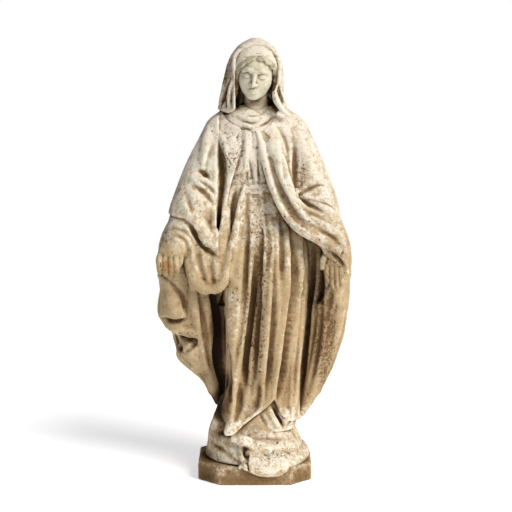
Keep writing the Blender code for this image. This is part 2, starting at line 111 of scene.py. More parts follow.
# %% Floor and lights
def floor_sheet():
    mesh = bpy.data.meshes.new("floor")
    reach = 1.7
    corners = [(-reach, -reach, 0), (reach, -reach, 0), (reach, reach, 0), (-reach, reach, 0)]
    mesh.from_pydata([Vector(c) for c in corners], [], [(0, 1, 2, 3)])
    sheet = bpy.data.objects.new("floor", mesh)
    scene.collection.objects.link(sheet)
    paint = bpy.data.materials.new("matt_white_paper")
    paint.use_nodes = True
    shader = paint.node_tree.nodes["Principled BSDF"]
    shader.inputs["Base Color"].default_value = colour("#FDFDFD")
    shader.inputs["Roughness"].default_value = 0.95
    shader.inputs["Specular IOR Level"].default_value = 0.1
    shader.inputs["Emission Color"].default_value = colour("#FFFFFF")
    shader.inputs["Emission Strength"].default_value = 0.56  # a sheet lit from below has faint shadows
    mesh.materials.append(paint)


def soft_light(name, place, target, size, power, tint):
    panel = bpy.data.lights.new(name, "AREA")
    panel.shape = "DISK"
    panel.size = size
    panel.energy = power
    panel.color = colour(tint)[:3]
    light = bpy.data.objects.new(name, panel)
    scene.collection.objects.link(light)
    aim(light, place, target)


def soft_sun(name, place, spread, strength, tint):
    """An even light over the whole floor, as wide in the sky as `spread` degrees."""
    sun = bpy.data.lights.new(name, "SUN")
    sun.angle = math.radians(spread)
    sun.energy = strength
    sun.color = colour(tint)[:3]
    light = bpy.data.objects.new(name, sun)
    scene.collection.objects.link(light)
    aim(light, place, (0, 0, 0))


WORLD_FILL = 0.16  # the strength of the light that fills the shadows


def pale_world():
    """A white world to look at, and a weaker one to light with, so that the folds keep their depth."""
    world = bpy.data.worlds.new("studio")
    scene.world = world
    world.use_nodes = True
    tree = world.node_tree
    tree.nodes.clear()
    seen = add_node(tree, "ShaderNodeBackground", {"Color": colour("#FFFFFF"), "Strength": 1.0})
    fill = add_node(tree, "ShaderNodeBackground", {"Color": colour("#F1F3FF"), "Strength": WORLD_FILL})
    path = add_node(tree, "ShaderNodeLightPath")
    mixed = add_node(
        tree, "ShaderNodeMixShader",
        {0: path.outputs["Is Camera Ray"], 1: fill.outputs[0], 2: seen.outputs[0]},
    )
    add_node(tree, "ShaderNodeOutputWorld", {"Surface": mixed.outputs[0]})


floor_sheet()
pale_world()
soft_sun("key", (1.5, -1.5, 1.75), 32, 3.2, "#FFFCF8")
soft_light("side", (2.2, -0.9, 0.9), (0, 0, 0.42), 0.8, 5, "#FFF6E8")
scene.view_settings.view_transform = "Standard"

# %% [markdown]
# ## Clay
#
# Drapery has no flat faces and no seams, so modelling it face by face would be slow. A sculptor
# builds up clay, lays on rolls and cuts in furrows, and this lesson does the same with numbers.
# A block of clay is a grid, and each point of the grid knows how far it is from the surface:
# below zero inside, above zero outside. Adding a form keeps the lower number, cutting keeps the
# higher one, and both round the corner where two forms meet. OpenVDB, which comes with Blender,
# turns the finished grid into a closed skin. All clay sizes are in millimetres.

# %% Paths and blends
FAR = 60.0  # mm: distances are not kept beyond this


def smooth_path(points, spacing):
    """An evenly spaced curve through the points, whatever numbers each point holds."""
    points = np.array(points, float)
    if len(points) > 2:
        ends = np.vstack([2 * points[0] - points[1], points, 2 * points[-1] - points[-2]])
        t = np.linspace(0, 1, 12, endpoint=False)[:, None]
        bends = []
        for a, b, c, d in zip(ends, ends[1:], ends[2:], ends[3:]):
            quadratic, cubic = 2 * a - 5 * b + 4 * c - d, 3 * b - a - 3 * c + d
            bends.append(0.5 * (2 * b + (c - a) * t + quadratic * t**2 + cubic * t**3))
        points = np.vstack([*bends, points[-1:]])
    steps = np.linalg.norm(np.diff(points, axis=0), axis=1)
    along = np.concatenate([[0], np.cumsum(steps)])
    places = np.linspace(0, along[-1], max(2, int(along[-1] / spacing) + 1))
    return np.stack([np.interp(places, along, column) for column in points.T], axis=1)


def merged(first, second, soft):
    """The nearer of two distances, with a fillet about `soft` mm wide."""
    share = np.clip(0.5 + 0.5 * (second - first) / soft, 0, 1)
    return second + (first - second) * share - soft * share * (1 - share)


def eased(share):
    share = np.clip(share, 0, 1)
    return share * share * (3 - 2 * share)


def outline_distance(outline, x, z):
    """How far each (x, z) is from a closed outline, below zero inside."""
    near = np.full(np.broadcast(x, z).shape, 1e9)
    inside = np.zeros(near.shape, bool)
    for (ax, az), (bx, bz) in zip(outline, np.roll(outline, -1, axis=0)):
        run_x, run_z = bx - ax, bz - az
        t = np.clip(((x - ax) * run_x + (z - az) * run_z) / (run_x**2 + run_z**2 + 1e-9), 0, 1)
        near = np.minimum(near, (x - ax - t * run_x) ** 2 + (z - az - t * run_z) ** 2)
        crosses = ((az > z) != (bz > z)) & (x < run_x * (z - az) / (run_z + 1e-9 * (run_z == 0)) + ax)
        inside ^= crosses
    return np.where(inside, -1, 1) * np.sqrt(near)


# %% The block
SIDES = {"front": (1, -1), "back": (1, 1), "left": (0, -1), "right": (0, 1)}  # axis, and which way is out


class Clay:
    """A block of clay between two corners, in mm, turned about a middle point if need be."""

    def __init__(self, low, high, step, middle=(0, 0, 0), turn=None):
        self.low, self.step = np.array(low, float), step
        size = np.ceil((np.array(high) - self.low) / step).astype(int) + 1
        self.field = np.full(size, FAR, np.float32)
        self.middle = np.array(middle, float)
        self.turn = np.array(turn) if turn is not None else np.eye(3)

    def line(self, axis):
        return (self.low[axis] + self.step * np.arange(self.field.shape[axis])).astype(np.float32)

    def window(self, low, high):
        """The slices of the block between two corners, and the x, y and z there."""
        first = np.floor((np.array(low) - self.low) / self.step).astype(int)
        last = np.ceil((np.array(high) - self.low) / self.step).astype(int) + 1
        first = np.clip(first, 0, self.field.shape)
        last = np.clip(last, first, self.field.shape)
        part = tuple(slice(a, b) for a, b in zip(first, last))
        lines = [self.line(axis)[part[axis]] for axis in range(3)]
        return part, np.meshgrid(*lines, indexing="ij", sparse=True)

    def blend(self, part, shape, soft, cut=False):
        """Adds a form to part of the block, or cuts it away."""
        if cut:
            self.field[part] = -merged(-self.field[part], shape, soft)
        else:
            self.field[part] = merged(self.field[part], shape, soft)

    def rod_distance(self, path, margin, flat):
        """Distances to a round-ended rod along a path of (x, y, z, radius)."""
        flat = np.array(flat, float)
        reach = path[:, 3].max() * flat.max() + margin
        part = self.window(path[:, :3].min(0) - reach, path[:, :3].max(0) + reach)[0]
        shell = np.full(self.field[part].shape, FAR, np.float32)
        for a, b in zip(path, path[1:]):
            near = max(a[3], b[3]) * flat.max() + margin
            inner, (x, y, z) = self.window(np.minimum(a, b)[:3] - near, np.maximum(a, b)[:3] + near)
            local = tuple(slice(i.start - o.start, i.stop - o.start) for i, o in zip(inner, part))
            run = ((b[:3] - a[:3]) / flat).astype(np.float32)
            x, y, z = (x - a[0]) / flat[0], (y - a[1]) / flat[1], (z - a[2]) / flat[2]
            t = np.clip((x * run[0] + y * run[1] + z * run[2]) / max(float(run @ run), 1e-9), 0, 1)
            away = np.sqrt((x - t * run[0]) ** 2 + (y - t * run[1]) ** 2 + (z - t * run[2]) ** 2)
            rod = (away - (a[3] + (b[3] - a[3]) * t)) * flat.min()
            shell[local] = np.minimum(shell[local], rod)
        return part, shell

    def add_rod(self, points, soft=4, flat=(1, 1, 1), cut=False):
        """A round-ended roll through points of (x, y, height, radius)."""
        path = smooth_path(points, max(3, 2 * self.step))
        part, rod = self.rod_distance(path, soft + 3 * self.step, flat)
        self.blend(part, rod, soft, cut)

    def cut_rod(self, points, soft=3, flat=(1, 1, 1)):
        self.add_rod(points, soft, flat, cut=True)

    def add_ball(self, middle, half_sizes, soft=4, cut=False):
        """An egg with three half sizes."""
        half = np.array(half_sizes, float)
        middle = np.array(middle, float)
        reach = half.max() + (soft + 3 * self.step)
        part, (x, y, z) = self.window(middle - reach, middle + reach)
        x, y, z = x - middle[0], y - middle[1], z - middle[2]
        reach_1 = np.sqrt((x / half[0]) ** 2 + (y / half[1]) ** 2 + (z / half[2]) ** 2)
        reach_2 = np.sqrt((x / half[0] ** 2) ** 2 + (y / half[1] ** 2) ** 2 + (z / half[2] ** 2) ** 2)
        self.blend(part, reach_1 * (reach_1 - 1) / np.maximum(reach_2, 1e-6), soft, cut)

    def cut_ball(self, middle, half_sizes, soft=3):
        self.add_ball(middle, half_sizes, soft, cut=True)

    def loft_distance(self, sections, even=6):
        """Distances to a body of rows (height, left, right, front, middle y, back, squareness)."""
        rows = np.array(sections, float)
        z = self.line(2)
        window = np.ones(max(1, int(2 * even / self.step)) | 1)
        window /= window.sum()
        columns = []
        for column in rows[:, 1:].T:
            drawn = np.interp(z, rows[:, 0], column)
            padded = np.pad(drawn, len(window) // 2, mode="edge")
            columns.append(np.convolve(padded, window, mode="valid").astype(np.float32))
        left, right, front, middle, back, power = (c[None, None, :] for c in columns)
        x, y = self.line(0)[:, None, None], self.line(1)[None, :, None]
        across = x - (left + right) / 2
        depth = y - middle
        u = np.abs(across) / ((right - left) / 2)
        v = np.abs(depth) / np.where(depth < 0, middle - front, back - middle)
        ratio = (u**power + v**power) ** (1 / power)
        shape = np.hypot(across, depth) * (1 - 1 / np.maximum(ratio, 0.02))
        caps = np.maximum(rows[0, 0] - z, z - rows[-1, 0])[None, None, :]
        slope = np.gradient(shape, self.step)
        steep = np.sqrt(slope[0] ** 2 + slope[1] ** 2 + slope[2] ** 2)
        shape = shape / np.maximum(steep, 0.3)
        return np.clip(np.maximum(shape, caps), -FAR, FAR).astype(np.float32)

    def add_loft(self, sections, soft=6, even=6):
        self.field = merged(self.field, self.loft_distance(sections, even), soft)

    def skin(self, view, across, height):
        """The depth of the first clay met from that side, at each place along a path."""
        axis, out = SIDES[view]
        other = 1 - axis
        i = np.clip(
            np.rint((across - self.low[other]) / self.step).astype(int), 0, self.field.shape[other] - 1,
        )
        k = np.clip(np.rint((height - self.low[2]) / self.step).astype(int), 0, self.field.shape[2] - 1)
        columns = self.field[i, :, k] if axis == 1 else self.field[:, i, k].T
        depths = self.line(axis)
        if out > 0:
            columns, depths = columns[:, ::-1], depths[::-1]
        solid = columns < 0
        first = np.clip(solid.argmax(axis=1), 1, None)
        rows = np.arange(len(first))
        before, after = columns[rows, first - 1], columns[rows, first]
        share = np.clip(before / np.maximum(before - after, 1e-6), 0, 1)
        depth = depths[first - 1] + (depths[first] - depths[first - 1]) * share
        hit = solid.any(axis=1)
        if not hit.any():
            return np.zeros(len(across)), hit
        depth = np.interp(rows, rows[hit], depth[hit])
        even = np.convolve(np.pad(depth, 2, mode="edge"), np.ones(5) / 5, mode="valid")
        return even, hit

    def stroke(self, view, height, radius, points, soft=3, ends=(0.25, 0.25)):
        """A roll of clay (height above 0) or a furrow (below 0) drawn on one side of the block."""
        axis, out = SIDES[view]
        path = smooth_path(points, max(3, 2 * self.step))
        depth, hit = self.skin(view, path[:, 0], path[:, 1])
        if not hit.any():
            return
        t = np.linspace(0, 1, len(path))
        fade = np.ones(len(path))
        if ends[0]:
            fade = np.minimum(fade, eased(t / ends[0]))
        if ends[1]:
            fade = np.minimum(fade, eased((1 - t) / ends[1]))
        size = radius * (0.45 + 0.55 * fade)
        sign = 1 if height > 0 else -1
        sunk = depth - sign * out * (size - abs(height) * fade)
        rod = np.empty((len(path), 4))
        rod[:, axis], rod[:, 1 - axis], rod[:, 2], rod[:, 3] = sunk, path[:, 0], path[:, 1], size
        part, shell = self.rod_distance(rod, soft + 3 * self.step, (1, 1, 1))
        self.blend(part, shell, soft, cut=height <= 0)

    def strokes(self, view, rows, soft=3, ends=(0.25, 0.25), deep=1.0, wide=1.0):
        """Many strokes: each row is a height, a radius and the points (across, height above the floor)."""
        for height, radius, *points in rows:
            self.stroke(view, height * deep, radius * wide, points, soft, ends)

    def press(self, outline, sink, edge, back=10, fade=14):
        """Sinks the front surface inside an outline by `sink` mm, or raises it if `sink` is below 0."""
        outline = np.array(outline, float)
        low, high = outline.min(0) - edge, outline.max(0) + edge
        part, (x, y, z) = self.window((low[0], self.low[1], low[1]), (high[0], back + fade, high[1]))
        flat = outline_distance(outline, x[:, 0, :], z[:, 0, :])
        amount = eased(0.5 - flat / edge)[:, None, :]
        reach = eased((back + fade - y) / fade)
        self.field[part] += (sink * amount * reach).astype(np.float32)

    def cut_window(self, outline, back, soft=3):
        """Cuts away all that lies in front of y = back inside an outline of (x, height)."""
        outline = np.array(outline, float)
        low, high = outline.min(0) - soft - 6, outline.max(0) + soft + 6
        part, (x, y, z) = self.window((low[0], self.low[1], low[1]), (high[0], back + soft + 6, high[1]))
        flat = outline_distance(outline, x[:, 0, :], z[:, 0, :])[:, None, :]
        self.blend(part, np.maximum(flat, y - back).astype(np.float32), soft, cut=True)


def sampled(volume, places):
    """Values between the points of a grid, blended from the eight around each place."""
    limits = np.array(volume.shape) - 1.001
    places = np.clip(places, 0, limits)
    cell = places.astype(int)
    part = places - cell
    total = np.zeros(len(places))
    for corner in np.ndindex(2, 2, 2):
        weight = np.prod(np.where(corner, part, 1 - part), axis=1)
        total += weight * volume[tuple((cell + corner).T)]
    return total


print("the clay tools are ready")

# %% [markdown]
# ## Gown
#
# The gown is one tall form: narrow at the high waist, full over the legs, and spread on the
# globe at the hem. A loft through a few oval sections gives the body under the cloth. The relaxed
# leg pushes the cloth forward at the knee, and from the girdle the cloth falls in long furrows,
# which run as the cloth hangs: straight over the standing leg, and bent round the knee.

# %% Block in the gown
STEP = 1.7  # mm between the points of the figure's block
FIGURE_LOW, FIGURE_HIGH = (-184, -100, 70), (182, 92, 664)


def figure_block():
    return Clay(FIGURE_LOW, FIGURE_HIGH, STEP)


GOWN_BODY = [  # height, left, right, front, middle, back, squareness
    (81, -58, 78, -76, -6, 58, 2.3),
    (100, -58, 80, -74, -6, 58, 2.3),
    (135, -54, 78, -68, -6, 56, 2.3),
    (195, -50, 80, -62, -5, 56, 2.3),
    (265, -52, 88, -60, -4, 56, 2.3),
    (335, -48, 93, -57, -2, 54, 2.3),
    (375, -58, 94, -53, 0, 52, 2.3),
    (405, -64, 92, -50, 0, 50, 2.4),
    (440, -64, 78, -44, 1, 46, 2.4),
    (466, -62, 58, -40, 2, 44, 2.5),
    (503, -60, 48, -37, 3, 43, 2.5),
    (545, -58, 55, -41, 2, 46, 2.3),
    (585, -56, 58, -42, 2, 46, 2.2),
    (612, -46, 50, -31, 4, 42, 2.0),
    (630, -32, 36, -21, 6, 36, 2.0),
    (643, -23, 27, -16, 6, 31, 2.0),
]
gown = figure_block()
gown.add_loft(GOWN_BODY)
RELAXED_LEG = [
    (-26, -32, 400, 20), (-31, -46, 330, 20), (-32, -51, 268, 21), (-36, -46, 190, 18), (-40, -50, 120, 18),
]
STANDING_LEG = [(34, -32, 420, 20), (32, -46, 330, 20), (26, -52, 240, 18), (22, -56, 150, 16)]
SIDE_OF_HEM = [(-48, -18, 132, 14), (-60, -28, 108, 12), (-68, -34, 90, 8)]
CHEST = [
    ((-24, -29, 560), (20, 13, 24), 14), ((-8, -27, 590), (22, 13, 22), 12),
    ((28, -31, 558), (21, 13, 24), 14),
]
HEM_POINTS = [
    [(-30, -58, 112, 15), (-40, -68, 98, 11), (-46, -72, 90, 7)], [(44, -54, 118, 13), (50, -60, 102, 8)],
]
for roll, soft in ((RELAXED_LEG, 14), (STANDING_LEG, 16), (SIDE_OF_HEM, 8)):
    gown.add_rod(roll, soft)
for middle, half_sizes, soft in CHEST:
    gown.add_ball(middle, half_sizes, soft)
for roll in HEM_POINTS:
    gown.add_rod(roll, 8)
print("gown block:", gown.field.shape)

# %% Hem and girdle
UPPER_HEM = [
    (-60, 60), (-56, 88), (-50, 82), (-37, 87), (-20, 102), (-4, 115), (8, 124), (20, 134), (33, 147),
    (45, 120), (60, 106), (90, 100), (90, 60),
]
gown.press(UPPER_HEM, 7, 3.5)
GIRDLE = [
    (-46, 512), (-14, 511), (4, 514), (24, 514), (46, 514), (46, 497), (20, 500), (4, 498), (-14, 498),
    (-46, 499),
]
gown.press(GIRDLE, -1.6, 2)
print("girdle corners:", len(GIRDLE))

# %% [markdown]
# Every fold of the gown is one row of a table: how far it stands out or sinks, how round it is,
# and the line it follows from top to bottom. Furrows end softly at the girdle, and most reach the
# hem. Writing folds as lines keeps them easy to move, which vertices pushed by hand are not.

# %% Folds of the gown
GOWN_RIDGES = [  # how proud, how round, then the line from top to bottom, all in mm
    (4.5, 5, (-14, 500), (-20, 478), (-30, 438), (-38, 386), (-49, 343)),
    (3.5, 5, (-8, 490), (-8, 430), (-10, 370), (-18, 300), (-27, 240), (-36, 180), (-40, 130)),
    (4, 6, (14, 480), (16, 420), (16, 350), (12, 280), (8, 210), (2, 150)),
    (4.5, 6, (30, 450), (36, 415), (29, 337), (22, 287), (16, 204), (8, 132)),
    (4, 7, (54, 440), (55, 380), (56, 318), (48, 250), (40, 190), (34, 150)),
    (4, 7, (76, 420), (79, 340), (76, 265), (69, 177), (62, 104)),
    (2.5, 4, (-40, 500), (-44, 470), (-49, 430)),
    (3, 5, (2, 300), (-4, 240), (-10, 180), (-16, 130)),
]
GOWN_FURROWS = [
    (-9, 4, (6, 492), (10, 464), (10, 406), (8, 318), (6, 285), (3, 236), (-1, 185)),
    (-11, 4.5, (4, 390), (-2, 335), (-10, 270), (-15, 205), (-18, 160)),
    (-6, 3, (-13, 497), (-12, 460), (-13, 420), (-16, 360), (-21, 290), (-30, 235), (-38, 178)),
    (-6, 3.5, (24, 497), (27, 470), (33, 440), (35, 405), (34, 336), (31, 267), (24, 196), (18, 150)),
    (-5, 3, (44, 456), (46, 413), (46, 356)),
    (-10, 6, (61, 446), (65, 413), (66, 370), (65, 318), (57, 252), (48, 186), (38, 136)),
    (-5, 5, (86, 410), (88, 350), (84, 280), (77, 210), (70, 140)),
    (-8, 5, (-54, 322), (-50, 248), (-46, 195), (-44, 145)),
    (-5, 3, (-24, 505), (-30, 480), (-36, 445), (-44, 400)),
    (-4, 2.6, (-32, 508), (-37, 480), (-44, 448)),
    (-4, 2.6, (17, 500), (19, 470), (22, 420), (22, 380)),
    (-5, 4, (6, 180), (4, 150), (0, 128)),
    (-4, 3, (-24, 170), (-28, 130), (-36, 104)),
]
BODICE = [
    (-3, 2, (-10, 560), (-6, 538), (-4, 516)),
    (-3, 2, (3, 566), (5, 540), (7, 517)),
    (-3, 2, (12, 562), (14, 545), (17, 527)),
    (-2.5, 2, (-19, 548), (-14, 530), (-12, 516)),
    (-3, 2, (-5, 606), (-4, 590), (-3, 572)),
    (-2, 2.6, (-23, 608), (-22, 573), (-27, 556), (-32, 538)),
    (2.5, 3, (-14, 600), (-14, 570), (-16, 545), (-20, 520)),
    (2, 2.6, (0, 560), (1, 535), (2, 516)),
]
gown.strokes("front", GOWN_RIDGES, soft=8, ends=(0.2, 0.12), deep=1.5, wide=1.2)
gown.strokes("front", GOWN_FURROWS, soft=6, ends=(0.3, 0.2), deep=1.15, wide=1.5)
gown.strokes("front", BODICE, soft=3, deep=0.7, wide=1.2)
DARK_RECESS = [
    (-66, -56, 346, 5), (-65, -50, 318, 12), (-64, -48, 265, 14), (-59, -48, 212, 12), (-53, -47, 165, 9),
    (-47, -46, 128, 5),
]
gown.cut_rod(DARK_RECESS, 8)
HEM_ROLL = [(2.4, 2.6, (-52, 86), (-37, 90), (-20, 105), (-4, 118), (8, 127), (20, 137), (33, 150))]
LOWER_SKIRT = [
    (-2, 3, (8, 124), (13, 112), (19, 102)), (-5, 4, (30, 136), (38, 116), (50, 96)),
    (4, 5, (56, 122), (54, 108), (50, 98)), (3, 4, (22, 132), (32, 112), (44, 94)),
]
gown.strokes("front", LOWER_SKIRT, soft=4, ends=(0.3, 0.3))
gown.strokes("front", HEM_ROLL, soft=2, ends=(0.05, 0.1))
gown.cut_ball((53, -68, 89), (9, 10, 7), 4)  # the hollow under the last point of the hem
print("gown folds:", len(GOWN_RIDGES) + len(GOWN_FURROWS) + len(BODICE))

# %% Collar and neckline
gown.add_ball((-4, 6, 620), (56, 38, 27), 10)
gown.cut_ball((1, -8, 668), (22, 24, 32), 5)
COLLAR_CREASES = [
    (-2.4, 2.4, (-34, 630), (-22, 622), (-6, 618), (8, 621)),
    (-2.2, 1.8, (-14, 634), (-2, 628), (12, 632), (22, 642)),
    (-2.5, 1.8, (10, 614), (22, 620), (32, 631)),
    (2.5, 2.5, (-26, 630), (-8, 625), (10, 628), (22, 638)),
]
gown.strokes("front", COLLAR_CREASES, soft=3, ends=(0.3, 0.3), deep=0.6)
NECKLINE = [
    (2.6, 3.2, (-44, 625), (-37, 619), (-25, 614), (-12, 614), (-5, 608), (6, 606), (20, 611), (34, 621)),
]
UNDER_NECKLINE = [(-1.2, 2, (-44, 619), (-36, 613), (-24, 608), (-12, 608), (-4, 602))]
gown.strokes("front", NECKLINE, soft=2.5, ends=(0.1, 0.1))
gown.strokes("front", UNDER_NECKLINE, soft=2)
print("collar creases:", len(COLLAR_CREASES))

# %% [markdown]
# ## Mantle
#
# The mantle is a heavy cloak over both shoulders. It hangs down the back to the feet, falls from
# both forearms like curtains, loops up to the waist under the right arm, and sweeps in one rolled
# edge from the throat to the left hand. The outline of a cloak is what the eye knows it by, so
# the loft is drawn by its left and right edges at each height. Arms are tapered rolls, and the
# folds are drawn on each of the four sides, because a statue stands in the open.

# %% Block in the cloak
CLOAK_LEFT = [  # height, then the edge's x on the figure's right side
    (91, -54), (107, -60), (140, -80), (163, -90), (184, -113), (203, -134), (227, -141), (250, -143),
    (262, -156), (280, -164), (300, -163), (322, -160), (354, -160), (378, -168), (398, -166), (426, -154),
    (450, -141), (475, -132), (500, -127), (522, -117), (540, -112), (587, -93), (612, -82), (624, -72),
    (636, -62), (648, -44),
]
CLOAK_RIGHT = [
    (91, 82), (107, 95), (140, 115), (186, 135), (244, 152), (291, 159), (330, 163), (360, 166), (385, 166),
    (416, 158), (440, 147), (459, 142), (480, 137), (498, 132), (519, 122), (549, 111), (587, 97),
    (612, 86), (624, 76), (636, 64), (648, 46),
]
CLOAK_DEPTH = [  # height, front, middle, back, squareness
    (91, -4, 30, 62, 2.0),
    (150, -8, 30, 72, 2.0),
    (222, -10, 27, 75, 2.0),
    (300, -12, 20, 76, 2.1),
    (362, -16, 14, 75, 2.1),
    (392, -38, 10, 72, 2.0),
    (440, -50, 9, 70, 2.1),
    (520, -49, 8, 66, 2.2),
    (560, -45, 9, 62, 2.2),
    (590, -38, 11, 57, 2.1),
    (612, -36, 13, 50, 2.1),
    (630, -28, 15, 42, 2.1),
    (648, -18, 15, 33, 2.0),
]


def cloak_rows(heights):
    left = np.interp(heights, *np.array(CLOAK_LEFT).T)
    right = np.interp(heights, *np.array(CLOAK_RIGHT).T)
    depth = np.array(CLOAK_DEPTH).T
    rest = [np.interp(heights, depth[0], column) for column in depth[1:]]
    return np.stack([heights, left, right, *rest], axis=1)


mantle = figure_block()
mantle.add_loft(cloak_rows(np.linspace(91, 648, 60)), even=4)
RIGHT_ARM = [
    (-62, 4, 606, 22), (-86, -4, 545, 28), (-102, -16, 480, 36), (-118, -30, 440, 33), (-136, -42, 408, 25),
    (-147, -47, 388, 17),
]
LEFT_ARM = [
    (66, 4, 606, 22), (90, -4, 545, 28), (104, -14, 480, 34), (120, -30, 440, 31), (138, -40, 408, 25),
    (149, -42, 386, 15),
]
mantle.add_rod(RIGHT_ARM, 12)
mantle.add_rod(LEFT_ARM, 12)
print("mantle block:", mantle.field.shape)

# %% Curtains that hang from the forearms
RIGHT_CURTAIN = [  # height, left, right, front, middle, back, squareness
    (120, -70, -52, 0, 20, 40, 2),
    (165, -92, -60, -10, 14, 50, 2),
    (205, -134, -64, -20, 10, 54, 2.2),
    (250, -141, -66, -26, 6, 54, 2.3),
    (275, -162, -70, -30, 2, 54, 2.3),
    (330, -160, -76, -38, -4, 50, 2.3),
    (380, -164, -84, -46, -14, 40, 2.2),
    (400, -160, -90, -46, -20, 30, 2.0),
]
LEFT_CURTAIN = [
    (96, 72, 84, 0, 20, 40, 2),
    (140, 82, 114, -8, 16, 46, 2),
    (190, 94, 135, -16, 12, 50, 2.2),
    (245, 100, 152, -22, 8, 52, 2.3),
    (300, 104, 160, -28, 2, 50, 2.3),
    (350, 108, 165, -34, -6, 46, 2.3),
    (392, 112, 164, -40, -14, 36, 2.0),
]
mantle.add_loft(RIGHT_CURTAIN, 8)
mantle.add_loft(LEFT_CURTAIN, 8)
print("the curtains' lowest sections:", RIGHT_CURTAIN[0][0], "and", LEFT_CURTAIN[0][0], "mm up")

# %% [markdown]
# The cloak is open at the front. Its opening is cut as a window with the outline of the real
# edge, and the edges are then laid on again as rolls, because cloth turns back on itself where it
# ends. The loop under the right forearm is a bag of cloth with a thick rim, and it is filled from
# behind with rolls so that it hangs full.

# %% Open the front
OPENING = [
    (-64, 300), (-52, 338), (-44, 356), (-40, 383), (-41, 412), (-45, 440), (-49, 468), (-46, 492),
    (-41, 515), (-34, 538), (-28, 558), (-24, 580), (-22, 602), (-26, 611), (-38, 617), (-50, 626),
    (-54, 652),
    (36, 652), (32, 626), (20, 613), (2, 608), (10, 582), (14, 557), (19, 535), (24, 512), (33, 491),
    (44, 468), (58, 446), (75, 429), (92, 419), (112, 408), (118, 380), (104, 300),
]
mantle.add_ball((-40, -31, 566), (17, 17, 27), 12)
mantle.cut_window(smooth_path([*OPENING, OPENING[0]], 3)[:-1], -2)
mantle.cut_ball((-4, -6, 664), (52, 46, 34), 6)  # room for the neck
mantle.cut_rod([(x - 4, y, z, r) for x, y, z, r in DARK_RECESS], 8)
print("the opening has", len(OPENING), "corners")

# %% Loop of cloth under the right forearm
SWAG_RIM = [
    (-116, -46, 404, 8), (-111, -50, 378, 9), (-105, -54, 360, 10), (-96, -57, 346, 11),
    (-84, -58, 338, 11), (-74, -58, 338, 11), (-62, -58, 342, 11), (-53, -57, 354, 10), (-46, -55, 376, 8),
    (-40, -52, 402, 7), (-34, -48, 432, 6), (-29, -43, 458, 5), (-24, -40, 486, 4.5), (-18, -39, 512, 3),
]
SWAG_BAG = [  # height, left, right, front, middle, back, squareness
    (338, -92, -62, -56, -44, -26, 2),
    (352, -102, -50, -55, -42, -22, 2),
    (376, -108, -43, -53, -38, -16, 2),
    (404, -112, -40, -48, -34, -8, 2),
    (440, -112, -44, -44, -30, 0, 2),
]
mantle.add_loft(SWAG_BAG, 6)
SWAG_FILL = [
    [(-104, -40, 420, 14), (-100, -44, 390, 13), (-92, -48, 362, 13), (-80, -50, 350, 12)],
    [(-88, -40, 420, 15), (-84, -44, 385, 14), (-76, -50, 354, 12)],
    [(-56, -36, 470, 14), (-58, -40, 430, 15), (-58, -44, 390, 15), (-62, -50, 358, 12)],
]
for roll in [SWAG_RIM, *SWAG_FILL]:
    mantle.add_rod(roll, 6)

# %% The rolled edge from throat to left hand
LEFT_PANEL = [
    [
        (30, -40, 580, 12), (42, -44, 530, 15), (56, -48, 490, 16), (76, -52, 456, 15), (104, -52, 434, 15),
        (132, -50, 416, 14),
    ],
    [
        (-2, -34, 611, 3), (7, -40, 596, 5), (14, -45, 570, 7), (22, -50, 540, 7), (31, -52, 512, 7),
        (42, -55, 486, 7.5), (56, -58, 462, 8), (74, -60, 443, 8), (94, -60, 430, 8), (116, -58, 420, 8),
        (136, -55, 406, 8), (150, -52, 388, 7), (156, -50, 366, 5),
    ],
]
for roll in LEFT_PANEL:
    mantle.add_rod(roll, 5)
print("rolls laid on the mantle:", 1 + len(SWAG_FILL) + len(LEFT_PANEL))

# %% Cloth that lies over cloth
SLEEVE_FLAP = [
    (-200, 474), (-120, 458), (-106, 442), (-95, 424), (-84, 408), (-73, 400), (-62, 393), (-63, 410),
    (-62, 450), (-62, 640), (-200, 640),
]
TURNED_PANEL = [
    (-172, 360), (-158, 354), (-146, 344), (-135, 333), (-126, 323), (-121, 306), (-118, 282), (-138, 279),
    (-156, 282), (-172, 276),
]
NOTCH = [
    (-146, 258), (-130, 251), (-114, 246), (-98, 246), (-99, 240), (-113, 229), (-127, 217), (-142, 214),
]
mantle.press(SLEEVE_FLAP, -4, 3, back=-16, fade=12)
mantle.press(TURNED_PANEL, -5, 3)
mantle.press(NOTCH, 8, 3)
print("notch corners:", len(NOTCH))

# %% [markdown]
# Cloth pulls from the points that hold it: the shoulders, the bent elbows and the hands. So the
# folds on the sleeves run across the arm, those on the curtains hang straight down, and those on
# the back fan out from the nape, with a few sagging loops between the shoulders.

